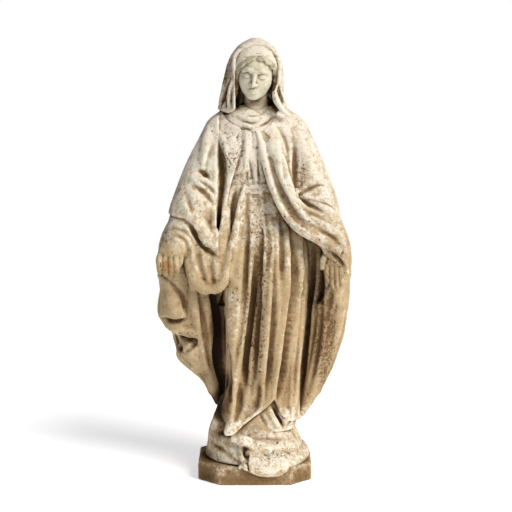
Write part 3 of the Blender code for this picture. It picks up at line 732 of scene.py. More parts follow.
# %% Folds on the front of the mantle
MANTLE_FRONT_FURROWS = [
    (-6, 3, (-100, 540), (-92, 536), (-82, 529), (-74, 522)),
    (-7, 3, (-104, 531), (-92, 522), (-78, 510), (-69, 498), (-64, 486)),
    (-5, 3, (-108, 514), (-96, 508), (-84, 499), (-73, 486), (-66, 474)),
    (-12, 4.5, (-120, 456), (-110, 446), (-101, 432), (-92, 416), (-82, 405), (-72, 398), (-62, 392)),
    (-5, 3, (-142, 442), (-129, 440), (-116, 434), (-105, 422), (-101, 404), (-101, 386)),
    (-4, 2.6, (-140, 431), (-128, 428), (-117, 420), (-113, 404)),
    (-4, 5, (-82, 408), (-80, 382), (-72, 354)),
    (-4, 4, (-99, 412), (-96, 386), (-86, 356)),
    (-8, 6, (26, 560), (32, 535), (40, 512), (51, 489), (68, 464), (92, 444), (118, 431), (142, 416)),
    (-4, 3, (62, 500), (74, 485), (94, 469), (118, 457), (136, 446)),
    (-4, 2.6, (68, 500), (84, 486), (104, 475), (126, 462)),
    (-3.5, 2.4, (80, 487), (95, 489), (111, 486), (124, 482), (137, 472)),
    (-3.5, 2.4, (78, 499), (94, 508), (110, 513), (124, 512)),
    (-4, 3, (34, 617), (43, 606), (52, 588), (58, 566), (62, 548)),
    (-7, 3.6, (66, 592), (68, 560), (68, 530), (70, 505)),
    (-3, 3, (48, 560), (50, 535), (56, 515)),
    (-3, 3, (-72, 580), (-80, 556), (-86, 530)),
    (-3, 3, (-118, 500), (-110, 482), (-104, 462)),
    (-7, 3, (122, 402), (134, 396), (146, 384), (155, 366)),
    (-5, 2.6, (96, 446), (114, 436), (132, 426), (148, 410)),
]
MANTLE_FRONT_RIDGES = [
    (4, 7, (-78, 606), (-84, 570), (-84, 540)),
    (4, 6, (-112, 526), (-98, 522), (-82, 512), (-72, 500)),
    (5, 8, (-124, 480), (-108, 466), (-92, 446), (-80, 424), (-70, 406)),
    (4, 5, (-106, 418), (-103, 390), (-94, 362)),
    (5, 6, (-87, 404), (-83, 376), (-76, 352)),
    (4, 5, (-67, 392), (-66, 370), (-64, 352)),
    (5, 9, (38, 586), (44, 550), (54, 515), (70, 484), (94, 462), (122, 447)),
    (4, 6, (70, 505), (86, 492), (106, 482), (128, 470)),
    (3, 6, (78, 590), (88, 560), (98, 530)),
    (3, 6, (-58, 600), (-52, 575), (-50, 550)),
]
mantle.strokes("front", MANTLE_FRONT_RIDGES, soft=8, deep=1.2, wide=1.1)
mantle.strokes("front", MANTLE_FRONT_FURROWS, soft=5, ends=(0.4, 0.4), wide=1.35)

# %% Folds of the two curtains
CURTAIN_FURROWS = [
    (-12, 7, (-76, 330), (-70, 290), (-68, 241), (-62, 188), (-52, 143)),
    (-6, 4, (-96, 330), (-91, 290), (-86, 245), (-76, 195), (-66, 160)),
    (-5, 3.5, (-158, 352), (-146, 343), (-135, 332), (-126, 322), (-121, 305), (-118, 284)),
    (-6, 3.5, (-158, 280), (-146, 277), (-134, 277), (-120, 281)),
    (-9, 5, (-142, 253), (-130, 249), (-116, 245), (-102, 243)),
    (-5, 4, (-100, 240), (-112, 229), (-126, 219)),
    (-7, 5, (-138, 246), (-134, 232), (-126, 222)),
    (-12, 6, (104, 404), (99, 340), (92, 270), (85, 195), (76, 120)),
    (-5, 4, (118, 320), (112, 260), (104, 200), (92, 140)),
    (-7, 4, (146, 326), (138, 296), (130, 262), (124, 228)),
    (-5, 4, (134, 330), (128, 300), (122, 268)),
]
CURTAIN_RIDGES = [
    (5, 6, (-108, 360), (-104, 313), (-95, 260), (-83, 207), (-68, 163)),
    (4, 6, (-84, 320), (-80, 265), (-70, 205), (-60, 160)),
    (5, 12, (-145, 322), (-140, 305), (-138, 292)),
    (4, 6, (-156, 271), (-144, 265), (-126, 262)),
    (4, 5, (-100, 250), (-112, 255), (-128, 258), (-142, 262)),
    (6, 14, (-118, 228), (-104, 212), (-90, 186)),
    (5, 5, (110, 385), (106, 331), (101, 261), (92, 190), (80, 120)),
    (5, 9, (124, 300), (118, 240), (106, 180), (92, 125)),
    (4, 4, (150, 334), (141, 310), (131, 276), (124, 236)),
    (4, 6, (154, 320), (148, 280), (140, 240)),
]
mantle.strokes("front", CURTAIN_RIDGES, soft=8, deep=1.3, wide=1.2)
mantle.strokes("front", CURTAIN_FURROWS, soft=5, ends=(0.3, 0.3), wide=1.4)
SLEEVE_GAP = [
    (-66, -38, 604, 2), (-61, -44, 580, 5.5), (-57, -46, 556, 8), (-56, -47, 530, 7.5),
    (-57, -46, 505, 6.5), (-60, -45, 478, 5), (-62, -44, 450, 4.5), (-66, -46, 424, 3),
]
mantle.cut_rod(SLEEVE_GAP, 5, (1, 2.2, 1))
mantle.cut_ball((134, -62, 354), (20, 17, 24), 6)  # so that the left hand stands free of the cloth
print(
    "front folds:",
    len(MANTLE_FRONT_FURROWS) + len(MANTLE_FRONT_RIDGES) + len(CURTAIN_FURROWS) + len(CURTAIN_RIDGES),
)

# %% Folds on the sides and the back
SIDE_FURROWS = [
    (-7, 6, (8, 590), (2, 540), (-2, 500)),
    (-8, 6, (24, 560), (14, 500), (4, 450), (-6, 412)),
    (-8, 7, (38, 540), (32, 470), (22, 400), (14, 340), (12, 280)),
    (-8, 7, (50, 480), (48, 400), (42, 320), (38, 250), (36, 190)),
    (-6, 5, (-4, 400), (-2, 360), (2, 310), (6, 260)),
    (-5, 4, (-24, 470), (-30, 452), (-38, 440)),
    (-7, 6, (22, 330), (20, 270), (24, 200), (30, 140)),
]
SIDE_RIDGES = [
    (5, 8, (16, 575), (8, 520), (0, 470), (-14, 425)),
    (6, 9, (32, 550), (24, 490), (14, 430), (6, 380)),
    (6, 9, (44, 520), (40, 440), (32, 360), (26, 290), (28, 210)),
    (5, 7, (2, 390), (10, 330), (12, 270), (18, 200), (26, 140)),
]
for side in ("left", "right"):
    mantle.strokes(side, SIDE_RIDGES, soft=7)
    mantle.strokes(side, SIDE_FURROWS, soft=5)

BACK_FOLDS = 9  # furrows that fan from the nape to the hem
for index in range(BACK_FOLDS):
    share = 2 * index / (BACK_FOLDS - 1) - 1 + 0.07 * math.sin(4.1 * index)
    sway = 7 * math.sin(2.3 * index)
    top = 560 - 30 * abs(share) - 60 * (index % 3)
    line = [
        (58 * share, top), (92 * share + sway, 440), (112 * share - sway, 300), (84 * share, 190),
        (58 * share + 4, 104),
    ]
    mantle.stroke("back", -8 - 2 * (index % 3), 6 + index % 3, line, 6, (0.3, 0.04))
    crest = [(x + 7 * (1 if share <= 0 else -1), z) for x, z in line]
    mantle.stroke("back", 4, 7, crest, 7, (0.3, 0.1))
SHOULDER_SAGS = [
    ((-46, 606), (-24, 584), (4, 578), (30, 584), (50, 606)),
    ((-60, 590), (-30, 556), (4, 546), (36, 556), (64, 590)),
    ((-78, 570), (-44, 528), (2, 512), (48, 528), (82, 570)),
]
for line in SHOULDER_SAGS:
    mantle.stroke("back", -3, 9, line, 8, (0.4, 0.4))
print("back folds:", 2 * BACK_FOLDS + len(SHOULDER_SAGS))

# %% Hem of the mantle
CURTAIN_HEM = [(3, 3.4, (-160, 268), (-144, 258), (-142, 240), (-132, 214), (-108, 190), (-86, 160))]
mantle.strokes("front", CURTAIN_HEM, soft=3, ends=(0.1, 0.2))
JOINT = 0.4  # mm between the mantle and the gown
mantle.field = np.maximum(mantle.field, JOINT - gown.field)
print("the mantle keeps", JOINT, "mm off the gown")

# %% [markdown]
# ## Veil
#
# The veil is one shell: a hood over the crown with a rolled rim, a smooth under-veil inside it,
# and two tails that reach the shoulders. The left tail (as one looks at the statue) ends in a
# rounded lobe and has two upright folds. The right one curls outwards to a point. It starts as a
# loft by its outline, and the window for the face is cut out of it.

# %% Hood
HOOD = [  # height, left, right, front, middle, back, squareness
    (618, -70, 68, -22, 13, 42, 2.0),
    (630, -67, 62, -26, 13, 44, 2.0),
    (644, -63, 55, -31, 13, 47, 2.1),
    (662, -60, 51, -36, 12, 50, 2.1),
    (689, -55, 50, -41, 10, 54, 2.1),
    (713, -49, 48, -43, 8, 54, 2.0),
    (732, -41, 42, -41, 6, 48, 2.0),
    (748, -29, 31, -33, 4, 38, 2.0),
    (757, -16, 18, -20, 3, 24, 2.0),
    (761, -4, 8, -8, 3, 12, 2.0),
]
veil = Clay((-80, -66, 612), (80, 66, 770), 1.3)
veil.add_loft(HOOD, even=3)
RIM = [
    (-34, 632), (-34, 662), (-31, 690), (-35, 714), (-33, 730), (-25, 742), (-11, 749), (5, 751), (22, 747),
    (34, 737), (41, 720), (39, 698), (33, 682), (25, 664),
]
veil.cut_window(smooth_path([*RIM, (34, 648), (46, 632), (40, 600), (-34, 600)], 3), 16, 2)
RIM_ROLL = [
    (-33, -30, 640, 4), (-33, -32, 664, 4), (-31, -33, 690, 3.5), (-35, -30, 714, 3.5),
    (-33, -29, 731, 3.5), (-24, -30, 743, 4), (-10, -29, 750, 4), (6, -29, 752, 4), (22, -29, 748, 4),
    (34, -29, 738, 4), (42, -29, 720, 3.5), (41, -31, 698, 3.5), (36, -32, 682, 3.4), (33, -34, 668, 3.2),
    (38, -36, 653, 3.6), (47, -35, 640, 3.6), (55, -32, 632, 3),
]
veil.add_rod(RIM_ROLL, 3)
UNDER_VEIL = [  # height, left, right, front, middle, back, squareness
    (690, -39, 43, -40, 4, 20, 3.0),
    (712, -38, 43, -45, 4, 20, 3.0),
    (728, -36, 41, -45, 4, 20, 2.8),
    (740, -30, 37, -39, 4, 20, 2.6),
    (748, -20, 28, -31, 4, 18, 2.4),
    (752, -8, 15, -22, 4, 12, 2.2),
]
veil.add_loft(UNDER_VEIL, 1.5, even=3)
FACE_WINDOW = [
    (-33, 600), (-34, 690), (-33, 708), (-25, 719), (-12, 725), (4, 730), (20, 726), (33, 717), (39, 703),
    (39, 690), (34, 674), (31, 660), (42, 600),
]
veil.cut_window(smooth_path(FACE_WINDOW, 3), 14, 1.5)
UNDER_TAILS = [
    (-90, 600), (-90, 640), (-66, 641), (-56, 638), (-46, 635), (-38, 637), (-32, 644), (-20, 652),
    (4, 658), (22, 664), (34, 650), (46, 637), (60, 629), (72, 626), (90, 626), (90, 600),
]
veil.cut_window(UNDER_TAILS, 24, 2)
print("hood sections:", len(HOOD), "and under-veil sections:", len(UNDER_VEIL))

# %% Folds of the veil
TAIL_FURROWS = [
    (-5.5, 3, (-42, 694), (-47, 674), (-54, 656), (-60, 641)),
    (-3, 2.2, (-36, 686), (-39, 668), (-40, 646)),
    (-3, 2.2, (-44, 680), (-48, 664), (-49, 646)),
    (-3, 2.4, (-53, 704), (-60, 680), (-65, 654)),
    (-8, 3.2, (37, 704), (37, 682), (42, 662), (51, 642)),
    (-6, 2.8, (45, 708), (46, 686), (49, 668), (57, 646)),
    (-3, 2.4, (-43, 716), (-36, 734), (-22, 748), (4, 755), (26, 750), (40, 736), (47, 716)),
]
TAIL_RIDGES = [
    (3, 3, (-40, 688), (-43, 668), (-44, 652), (-43, 643)),
    (2, 3, (-50, 688), (-55, 668), (-60, 650)),
    (3, 4, (32, 676), (37, 658), (47, 641), (57, 633)),
    (3, 3, (41, 700), (42, 680), (46, 662), (54, 646)),
]
veil.strokes("front", TAIL_RIDGES, soft=4, deep=1.3)
veil.strokes("front", TAIL_FURROWS, soft=3, wide=1.3)
VEIL_SIDE = [(-4, 6, (12, 720), (15, 680), (16, 640)), (-4, 6, (33, 700), (34, 660), (32, 636))]
VEIL_BACK = [
    (-4, 5, (s * x, 716), (s * (x + 6), 676), (s * (x + 10), 636)) for s in (-1, 1) for x in (10, 32)
]
for side, folds in (("left", VEIL_SIDE), ("right", VEIL_SIDE), ("back", VEIL_BACK)):
    veil.strokes(side, folds, soft=5)
print("veil block:", veil.field.shape)

# %% [markdown]
# ## Head
#
# The face is a calm, idealised one, set out by the proportions that drawing books teach: the
# eyes half way up the head and one eye's width apart, the base of the nose half way from the
# brow to the chin, and the mouth a third of the way from nose to chin. It is built upright in
# a block of its own, and the block is then bowed and tilted. Lowered lids are a ball with a
# roll laid over it, a groove cut along the lash line and a crease cut above.

# %% Block in the head
HEAD_MIDDLE = (3, -15, 704.5)
HEAD_TURN = Matrix.Rotation(math.radians(6), 3, "Y") @ Matrix.Rotation(
    math.radians(15), 3, "X",
) @ Matrix.Rotation(math.radians(-5), 3, "Z")
CHIN, CROWN = -44, 45  # heights from the middle of the head
EYE_LINE = (CHIN + CROWN) / 2 - 1
BROW = EYE_LINE + 9
NOSE_BASE = (BROW + CHIN) / 2 + 1
MOUTH = NOSE_BASE - (NOSE_BASE - CHIN) / 3
FACE_WIDTH = 59
EYE = FACE_WIDTH / 5
head = Clay((-46, -54, -84), (46, 52, 52), 0.9, HEAD_MIDDLE, HEAD_TURN)
head.add_ball((0, 5, 8), (29, 34, 36), 6)
head.add_ball((0, -8, -6), (27.5, 25, 34), 8)
head.add_ball((0, -12, -24), (21, 19, 19), 8)
head.add_ball((0, -23, CHIN + 8), (9.5, 7.5, 6.5), 8)
for side in (-1, 1):
    head.add_ball((side * 15, -18, NOSE_BASE + 5), (11, 10, 12), 8)
    head.add_rod(
        [
            (side * 3, -31, BROW - 1, 2.2), (side * 12, -31.5, BROW + 1.5, 2.6),
            (side * 21, -25, BROW - 1.5, 2),
        ],
        6,
    )
neck_points = [
    ((2, 6, 618), 30), ((2, 5, 634), 24), ((2, 4, 650), 20), ((2, 3, 668), 19), ((3, 0, 684), 18),
]
neck_path = []
for place, radius in neck_points:
    own = np.array(HEAD_TURN).T @ (np.array(place) - HEAD_MIDDLE)
    neck_path.append((*own, radius))
head.add_rod(neck_path, 5)
print("face thirds, mm above the middle:", BROW, round(NOSE_BASE, 1), round(MOUTH, 1), CHIN)

# %% Eyes, nose and mouth
for side in (-1, 1):
    middle = side * EYE * 1.06
    head.cut_ball((middle, -37.5, EYE_LINE + 1), (8.5, 7.2, 5), 6)
    head.add_ball((middle, -25.2, EYE_LINE), (6.6, 6.6, 5.6), 1.2)
    lash = [
        (middle - 6.2, -30.5, EYE_LINE - 1.6, 0.9), (middle, -33, EYE_LINE - 3.6, 1),
        (middle + 6.2, -30.5, EYE_LINE - 1.6, 0.9),
    ]
    head.cut_rod(lash, 0.8)
    lid = [
        (middle - 6.6, -29.5, EYE_LINE - 0.6, 0.9), (middle, -31.4, EYE_LINE - 2, 1.1),
        (middle + 6.6, -29.5, EYE_LINE - 0.6, 0.9),
    ]
    head.add_rod(lid, 1.2)
    crease = [
        (middle - 6.5, -31, EYE_LINE + 3.2, 0.7), (middle, -33.2, EYE_LINE + 5, 0.8),
        (middle + 6.5, -31, EYE_LINE + 3.2, 0.7),
    ]
    head.cut_rod(crease, 1.2)
    head.add_ball((side * 4.6, -33.5, NOSE_BASE + 2.5), (3, 4, 3), 2)
    head.cut_ball((side * 2.6, -36.5, NOSE_BASE - 0.6), (1, 1.5, 0.8), 1.2)
    head.cut_ball((side * 11, -34, MOUTH + 0.5), (2.2, 3, 2), 2.5)
head.add_rod(
    [
        (0, -30.5, BROW - 2, 3.2), (0, -34, EYE_LINE - 3, 3), (0, -38, NOSE_BASE + 5, 3.4),
        (0, -39, NOSE_BASE + 2.8, 3.6),
    ],
    3,
)
head.add_rod(
    [
        (-8, -30, MOUTH + 0.8, 1.1), (-3, -33.4, MOUTH + 2.2, 2), (0, -33.8, MOUTH + 1.6, 1.9),
        (3, -33.4, MOUTH + 2.2, 2), (8, -30, MOUTH + 0.8, 1.1),
    ],
    1.5,
)
head.add_rod(
    [(-6.5, -30.5, MOUTH - 1.8, 1.4), (0, -33, MOUTH - 2.8, 2.4), (6.5, -30.5, MOUTH - 1.8, 1.4)], 1.8,
)
head.cut_rod(
    [
        (-9.5, -31, MOUTH - 0.2, 0.7), (-4, -35.4, MOUTH, 0.9), (0, -36, MOUTH - 0.5, 0.9),
        (4, -35.4, MOUTH, 0.9), (9.5, -31, MOUTH - 0.2, 0.7),
    ],
    0.8,
)
head.cut_ball((0, -34, MOUTH - 7.5), (7, 3.4, 2.6), 3)
print("head block:", head.field.shape)

# %% [markdown]
# ## Hands
#
# Each hand leaves a wide cuff with its fingers pointing down. The right hand is seen from its
# back, with the fingers curled under and worn to stumps. The left hand is seen from the palm, with
# four fingers side by side. Fingers are tapered rolls that bend at each joint.

# %% Hands
FINE = 0.9
right_hand = Clay((-178, -82, 346), (-116, -26, 430), FINE)
right_hand.add_rod([(-140, -40, 428, 13), (-145, -48, 412, 14), (-147, -53, 402, 14)], 4, (1.1, 0.8, 1))
right_hand.add_ball((-147, -55, 396), (18, 9.5, 16), 4)
for index, x in enumerate((-162, -152.5, -143, -134)):
    drop = (4, 0, 1, 5)[index]
    right_hand.add_rod(
        [
            (x + 1, -59, 394, 5.4), (x, -65, 384 + drop, 5.6), (x + 0.5, -66, 372 + drop, 5.2),
            (x + 1, -59, 363 + drop, 4.8), (x + 1.5, -51, 362 + drop, 4),
        ],
        1.6,
    )
right_hand.add_rod(
    [(-132, -52, 408, 6), (-127, -58, 396, 5.4), (-127, -61, 384, 5), (-130, -60, 376, 4)], 2.5,
)
for x in (-157, -147.6, -138.4):
    right_hand.cut_rod([(x, -68, 392, 1), (x, -74, 378, 1.8), (x, -70, 364, 1.8)], 1.2)
left_hand = Clay((108, -76, 326), (170, -22, 420), FINE)
left_hand.add_rod([(137, -34, 416, 13), (137, -40, 402, 12), (136, -45, 390, 12)], 4, (1, 0.8, 1))
left_hand.add_ball((136, -46, 382), (15.5, 8, 17), 4)
for index, x in enumerate((123.5, 131.6, 139.8, 147.5)):
    tip = (348, 340, 339, 344)[index]
    left_hand.add_rod(
        [
            (x, -47, 376, 4.8), (x - 0.5, -52, 364, 4.7), (x, -54, (364 + tip) / 2, 4.4),
            (x + 1, -52, tip, 3.6),
        ],
        1.2,
    )
left_hand.add_rod([(124, -44, 396, 6), (117, -50, 386, 5.4), (115, -54, 373, 4.2)], 2.5)
for x in (127.5, 135.6, 143.7):
    left_hand.cut_rod([(x, -58, 372, 1.4), (x, -60, 356, 2.1), (x, -58, 342, 2.1)], 1)
print("hands:", right_hand.field.shape, left_hand.field.shape)

# %% [markdown]
# ## Globe, serpent and plinth
#
# The figure stands on a half globe. A serpent lies round its foot with its jaws open at the
# front. The body is a roll whose thickness changes along a route, given by the angle round the
# globe, the reach from the globe's edge, the height and the radius. The plinth is a block with
# four cut corners, hollowed underneath for the washer and nut of the tie rod.

# %% Globe
GLOBE_RADIUS, GLOBE_FOOT = 86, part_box("globe")[0].z / MM
globe = Clay((-92, -92, 28), (92, 92, 126), 1.8)
x, y, z = np.meshgrid(globe.line(0), globe.line(1), globe.line(2), indexing="ij", sparse=True)
globe.field = np.maximum(
    np.sqrt(x**2 + y**2 + (z - GLOBE_FOOT) ** 2) - GLOBE_RADIUS, GLOBE_FOOT - z,
).astype(np.float32)
GLOBE_MARKS = [
    (-2, 4, (-78, 76), (-60, 82), (-44, 80)),
    (-2, 5, (-70, 60), (-50, 52), (-36, 44)),
    (2, 8, (-66, 70), (-50, 70)),
    (2, 10, (10, 84), (40, 78), (66, 70)),
    (-2, 4, (-10, 86), (-18, 78), (-36, 76)),
]
globe.strokes("front", GLOBE_MARKS, soft=6)
LUMP_BY_HEM = [(-42, -12, 114, 14), (-56, -22, 98, 18), (-66, -26, 78, 15), (-70, -24, 60, 10)]
globe.add_rod(LUMP_BY_HEM, 12)
print("globe radius:", GLOBE_RADIUS, "mm, foot at", round(GLOBE_FOOT, 1), "mm")

# %% Serpent
SERPENT_ROUTE = [  # turn in degrees, out from the globe, height over its foot, radius
    (-104, -8, 24, 11), (-96, -4, 14, 17), (-84, -4, 3, 21), (-66, 0, 0, 21), (-45, -3, 2, 19),
    (-22, -4, 4, 16),
    (0, -4, 7, 13), (25, -3, 7, 11), (50, -2, 7, 9), (75, -3, 6, 8), (100, -3, 5, 5), (120, -2, 4, 3),
]
body = []
for degrees, out, rise, radius in SERPENT_ROUTE:
    reach, angle = GLOBE_RADIUS + out, math.radians(degrees)
    body.append((reach * math.cos(angle), reach * math.sin(angle), GLOBE_FOOT + rise, radius))
serpent = Clay((-52, -112, 8), (112, 100, 92), 1.4)
serpent.add_rod(body, 4)
coil = []
for degrees in (-82, -60, -38, -16):
    angle = math.radians(degrees)
    coil.append((74 * math.cos(angle), 74 * math.sin(angle), GLOBE_FOOT + 24, 17 if degrees < -20 else 10))
serpent.add_rod(coil, 10)
UPPER_JAW = [(16, -76, 62, 14), (-4, -80, 68, 12), (-22, -82, 75, 8), (-36, -78, 79, 5)]
UNDER_JAW = [(2, -86, 36, 11), (-10, -91, 35, 8), (-24, -89, 33, 4)]
MOUTH_TOP = [
    (-44, -90, 69, 3.5), (-32, -93, 69, 5), (-22, -94, 66, 7), (-16, -95, 58, 7), (-15, -97, 50, 5),
]
MOUTH_FLOOR = [(-34, -94, 44, 4), (-22, -96, 44, 4), (-13, -98, 46, 3)]
serpent.add_rod(UPPER_JAW, 6, (1, 0.9, 0.9))
serpent.add_rod(UNDER_JAW, 6)
serpent.cut_rod(MOUTH_TOP, 2)
serpent.cut_rod(MOUTH_FLOOR, 2)
serpent.add_ball((-12, -90, 58), (5, 5, 6), 2)  # the tongue
LOWER_JAW = [(-3, 2.4, (-30, 36), (-20, 29), (-11, 22)), (-3, 2.4, (-9, 22), (-11, 34), (-14, 46))]
serpent.strokes("front", [*LOWER_JAW, (2, 4, (-32, 82), (-18, 82), (-2, 77))], soft=2)
serpent.cut_ball((-20, -94, 77), (2.2, 3, 1.6), 1)  # the eye
print("serpent route:", len(SERPENT_ROUTE), "points")

# %% Plinth
low, high = (np.array(corner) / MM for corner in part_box("plinth"))
CORNER_CUT = 37
plinth = Clay(low - 6, high + 6, 1.6)
x, y, z = np.meshgrid(plinth.line(0), plinth.line(1), plinth.line(2), indexing="ij", sparse=True)
side = np.maximum(np.abs(x) - high[0], np.abs(y) - high[1])
corner = (np.abs(x) + np.abs(y) - (high[0] + high[1] - CORNER_CUT)) / math.sqrt(2)
ends = np.maximum(low[2] - z, z - high[2])
plinth.field = -merged(-np.maximum(side, corner), -ends, 4).astype(np.float32)
RECESS_RADIUS = 21  # round the washer and nut
plinth.cut_rod([(0, 0, -30, RECESS_RADIUS), (0, 0, -3.4, RECESS_RADIUS)], 1)
RECESS_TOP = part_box("tie_washer")[1].z / MM + 0.3
part, (x, y, z) = plinth.window((-24, -24, -8), (24, 24, RECESS_TOP + 4))
plinth.field[part] = np.maximum(
    plinth.field[part], -np.maximum(np.hypot(x, y) - RECESS_RADIUS, z - RECESS_TOP),
)
print("globe, serpent and plinth blocks:", globe.field.shape, serpent.field.shape, plinth.field.shape)

# %% [markdown]
# ## From clay to cast stone
#
# OpenVDB draws a closed skin of four-sided faces through the points where the distance is zero.
# The skin is then weathered: small pits where the crushed stone has dropped out, low swellings
# from the mould, and islands of limewash that stand a little proud of the bare stone. Each skin
# point also remembers how deep in a hollow it lies, from a blurred copy of the whole statue, and
# its colour is darkened by that: grime where rain doesn't reach, and painted shade.

# %% How closed in each place is
ROOM_STEP = 3.0
ROOM_LOW, ROOM_HIGH = np.array((-190, -120, -24)), np.array((190, 110, 785))
BLOCKS = [mantle, gown, veil, head, right_hand, left_hand, globe, serpent, plinth]


def room_points(low, high):
    first = np.clip(np.floor((low - ROOM_LOW) / ROOM_STEP).astype(int), 0, room.shape)
    last = np.clip(np.ceil((high - ROOM_LOW) / ROOM_STEP).astype(int) + 1, first, room.shape)
    part = tuple(slice(a, b) for a, b in zip(first, last))
    lines = [ROOM_LOW[i] + ROOM_STEP * np.arange(first[i], last[i]) for i in range(3)]
    return part, np.stack(np.meshgrid(*lines, indexing="ij"), axis=-1).reshape(-1, 3)


def blurred(volume, reach):
    """The mean over a cube that reaches `reach` points each way."""
    for axis in range(3):
        ends = [(0, 0)] * 3
        ends[axis] = (reach + 1, reach)
        total = np.cumsum(np.pad(volume, ends, mode="edge"), axis=axis)
        size = volume.shape[axis]
        upper = np.take(total, range(2 * reach + 1, 2 * reach + 1 + size), axis=axis)
        lower = np.take(total, range(size), axis=axis)
        volume = (upper - lower) / (2 * reach + 1)
    return volume


room = np.zeros(np.ceil((ROOM_HIGH - ROOM_LOW) / ROOM_STEP).astype(int) + 1, np.float32)
for clay in BLOCKS:
    size = clay.step * (np.array(clay.field.shape) - 1)
    corners = np.array([clay.low + size * bit for bit in np.ndindex(2, 2, 2)])
    corners = corners @ clay.turn.T + clay.middle
    part, places = room_points(corners.min(0), corners.max(0))
    own = ((places - clay.middle) @ clay.turn - clay.low) / clay.step
    index = np.rint(own).astype(int)
    inside = ((index >= 0) & (index < clay.field.shape)).all(axis=1)
    filled = np.zeros(len(places), np.float32)
    filled[inside] = clay.field[tuple(index[inside].T)] < 0
    room[part] = np.maximum(room[part], filled.reshape(room[part].shape))
room[:, :, : int(-ROOM_LOW[2] / ROOM_STEP)] = 1
near_room, wide_room = blurred(room, 2), blurred(room, 6)
print("stone fills", round(100 * float(room.mean())), "per cent of the room round it")

# %% Noise, and the largest body of a skin
LATTICE = 32


def noise(points, size, seed):
    """Smooth random values from -1 to 1 that change over about `size` mm."""
    lattice = np.random.default_rng(seed).uniform(-1, 1, (LATTICE,) * 3)
    places = points / size + 500.0
    cell = np.floor(places).astype(int)
    part = eased(places - cell)
    total = np.zeros(len(points))
    for corner in np.ndindex(2, 2, 2):
        weight = np.prod(np.where(corner, part, 1 - part), axis=1)
        total += weight * lattice[tuple(((cell + corner) % LATTICE).T)]
    return total


def largest_body(points, quads):
    """Drops the crumbs that a deep cut can leave."""
    label = np.arange(len(points))
    while True:
        lowest = label[quads].min(axis=1)
        new = label.copy()
        np.minimum.at(new, quads.ravel(), np.repeat(lowest, 4))
        new = new[new]
        if (new == label).all():
            break
        label = new
    names, sizes = np.unique(label[quads[:, 0]], return_counts=True)
    kept = label == names[sizes.argmax()]
    number = np.cumsum(kept) - 1
    return points[kept], number[quads[kept[quads[:, 0]]]]


# %% Where the surface is crusty, where it is rusty, and where grime, painted shade and painted light change it
CRUST = [  # x, height, reach across, reach up, strength
    (8, 400, 24, 120, 0.75), (-2, 280, 22, 90, 0.9), (-34, 320, 14, 26, 0.9), (-36, 566, 26, 44, 0.72),
    (2, 560, 22, 60, 0.4), (-150, 440, 20, 30, 0.6), (78, 525, 12, 34, 0.9), (122, 250, 20, 110, 0.9),
    (40, 56, 60, 30, 0.5), (60, 450, 44, 18, 0.6), (-52, 550, 9, 50, 1.0), (-110, 252, 26, 8, 0.7),
    (140, 400, 24, 24, 0.5),
]
RUST = [
    (-148, 376, 16, 17, 1.2), (-142, 400, 12, 12, 0.6), (79, 525, 9, 26, 1.0), (98, 370, 10, 40, 0.45),
    (146, 345, 6, 12, 0.8), (143, 398, 10, 8, 0.4),
    (-130, 200, 26, 20, 0.4), (-60, 110, 16, 16, 0.3),
]
GRIME_SHADE_AND_LIGHT = [  # the same columns; above 0 grime and painted shade, below 0 clean stone and painted light on the knee
    (-66, 262, 15, 78, 1.4), (-50, 150, 14, 40, 1.2), (-64, 126, 17, 24, 1.6), (-46, 660, 10, 32, 0.35),
    (-68, 78, 20, 24, 0.5), (-86, 10, 18, 40, 0.8),
    (-20, 8, 76, 18, 0.3), (82, 14, 18, 20, 0.45), (43, 190, 34, 56, 0.45), (-50, 690, 12, 54, 0.7),
    (-31, 680, 6, 32, 0.8), (34, 670, 7, 22, 0.6),
    (2, 652, 20, 8, 0.4), (-38, 300, 18, 46, -1.1), (2, 574, 16, 28, -0.8), (12, 440, 28, 40, -0.35),
    (26, 66, 60, 32, -0.05), (-16, 60, 7, 11, 1.1), (20, 104, 40, 16, 0.15), (-30, 118, 30, 14, 0.2),
    (4, 742, 34, 14, -0.5), (-10, 728, 9, 2.5, 0.9), (15, 728, 7, 2.5, 0.9), (-30, 712, 4, 6, 0.6),
    (-90, 180, 16, 50, 0.3), (112, 250, 22, 110, 0.35), (128, 352, 12, 12, 0.25), (110, 440, 34, 30, -0.35),
    (-86, 400, 28, 40, -0.3), (-40, 590, 22, 24, -0.5),
]


def spots(table, points):
    """How strongly a set of soft ovals covers each point of the front."""
    total = np.zeros(len(points))
    for x, height, across, up, strength in table:
        far = ((points[:, 0] - x) / across) ** 2 + ((points[:, 2] - height) / up) ** 2
        here = strength * np.exp(-(far**1.5))
        total = np.where(np.abs(here) > np.abs(total), here, total)
    return total * eased((30 - points[:, 1]) / 20)


print("crust, rust and dirt spots:", len(CRUST), len(RUST), len(GRIME_SHADE_AND_LIGHT))


# %% Skin, weather and finish
MOST_TRIANGLES = 190_000
SKIN_VALUES = ("painted_shade_and_grime", "wash", "crust", "rust", "pits")  # what each point of a skin remembers
OPEN_ROOM = 0.42  # how full the room is beside an open surface
FLAT_EDGE = 0.48  # how full the stone is just under a flat face
PIT_LEVEL = 0.62  # only the peaks of the grain become pits


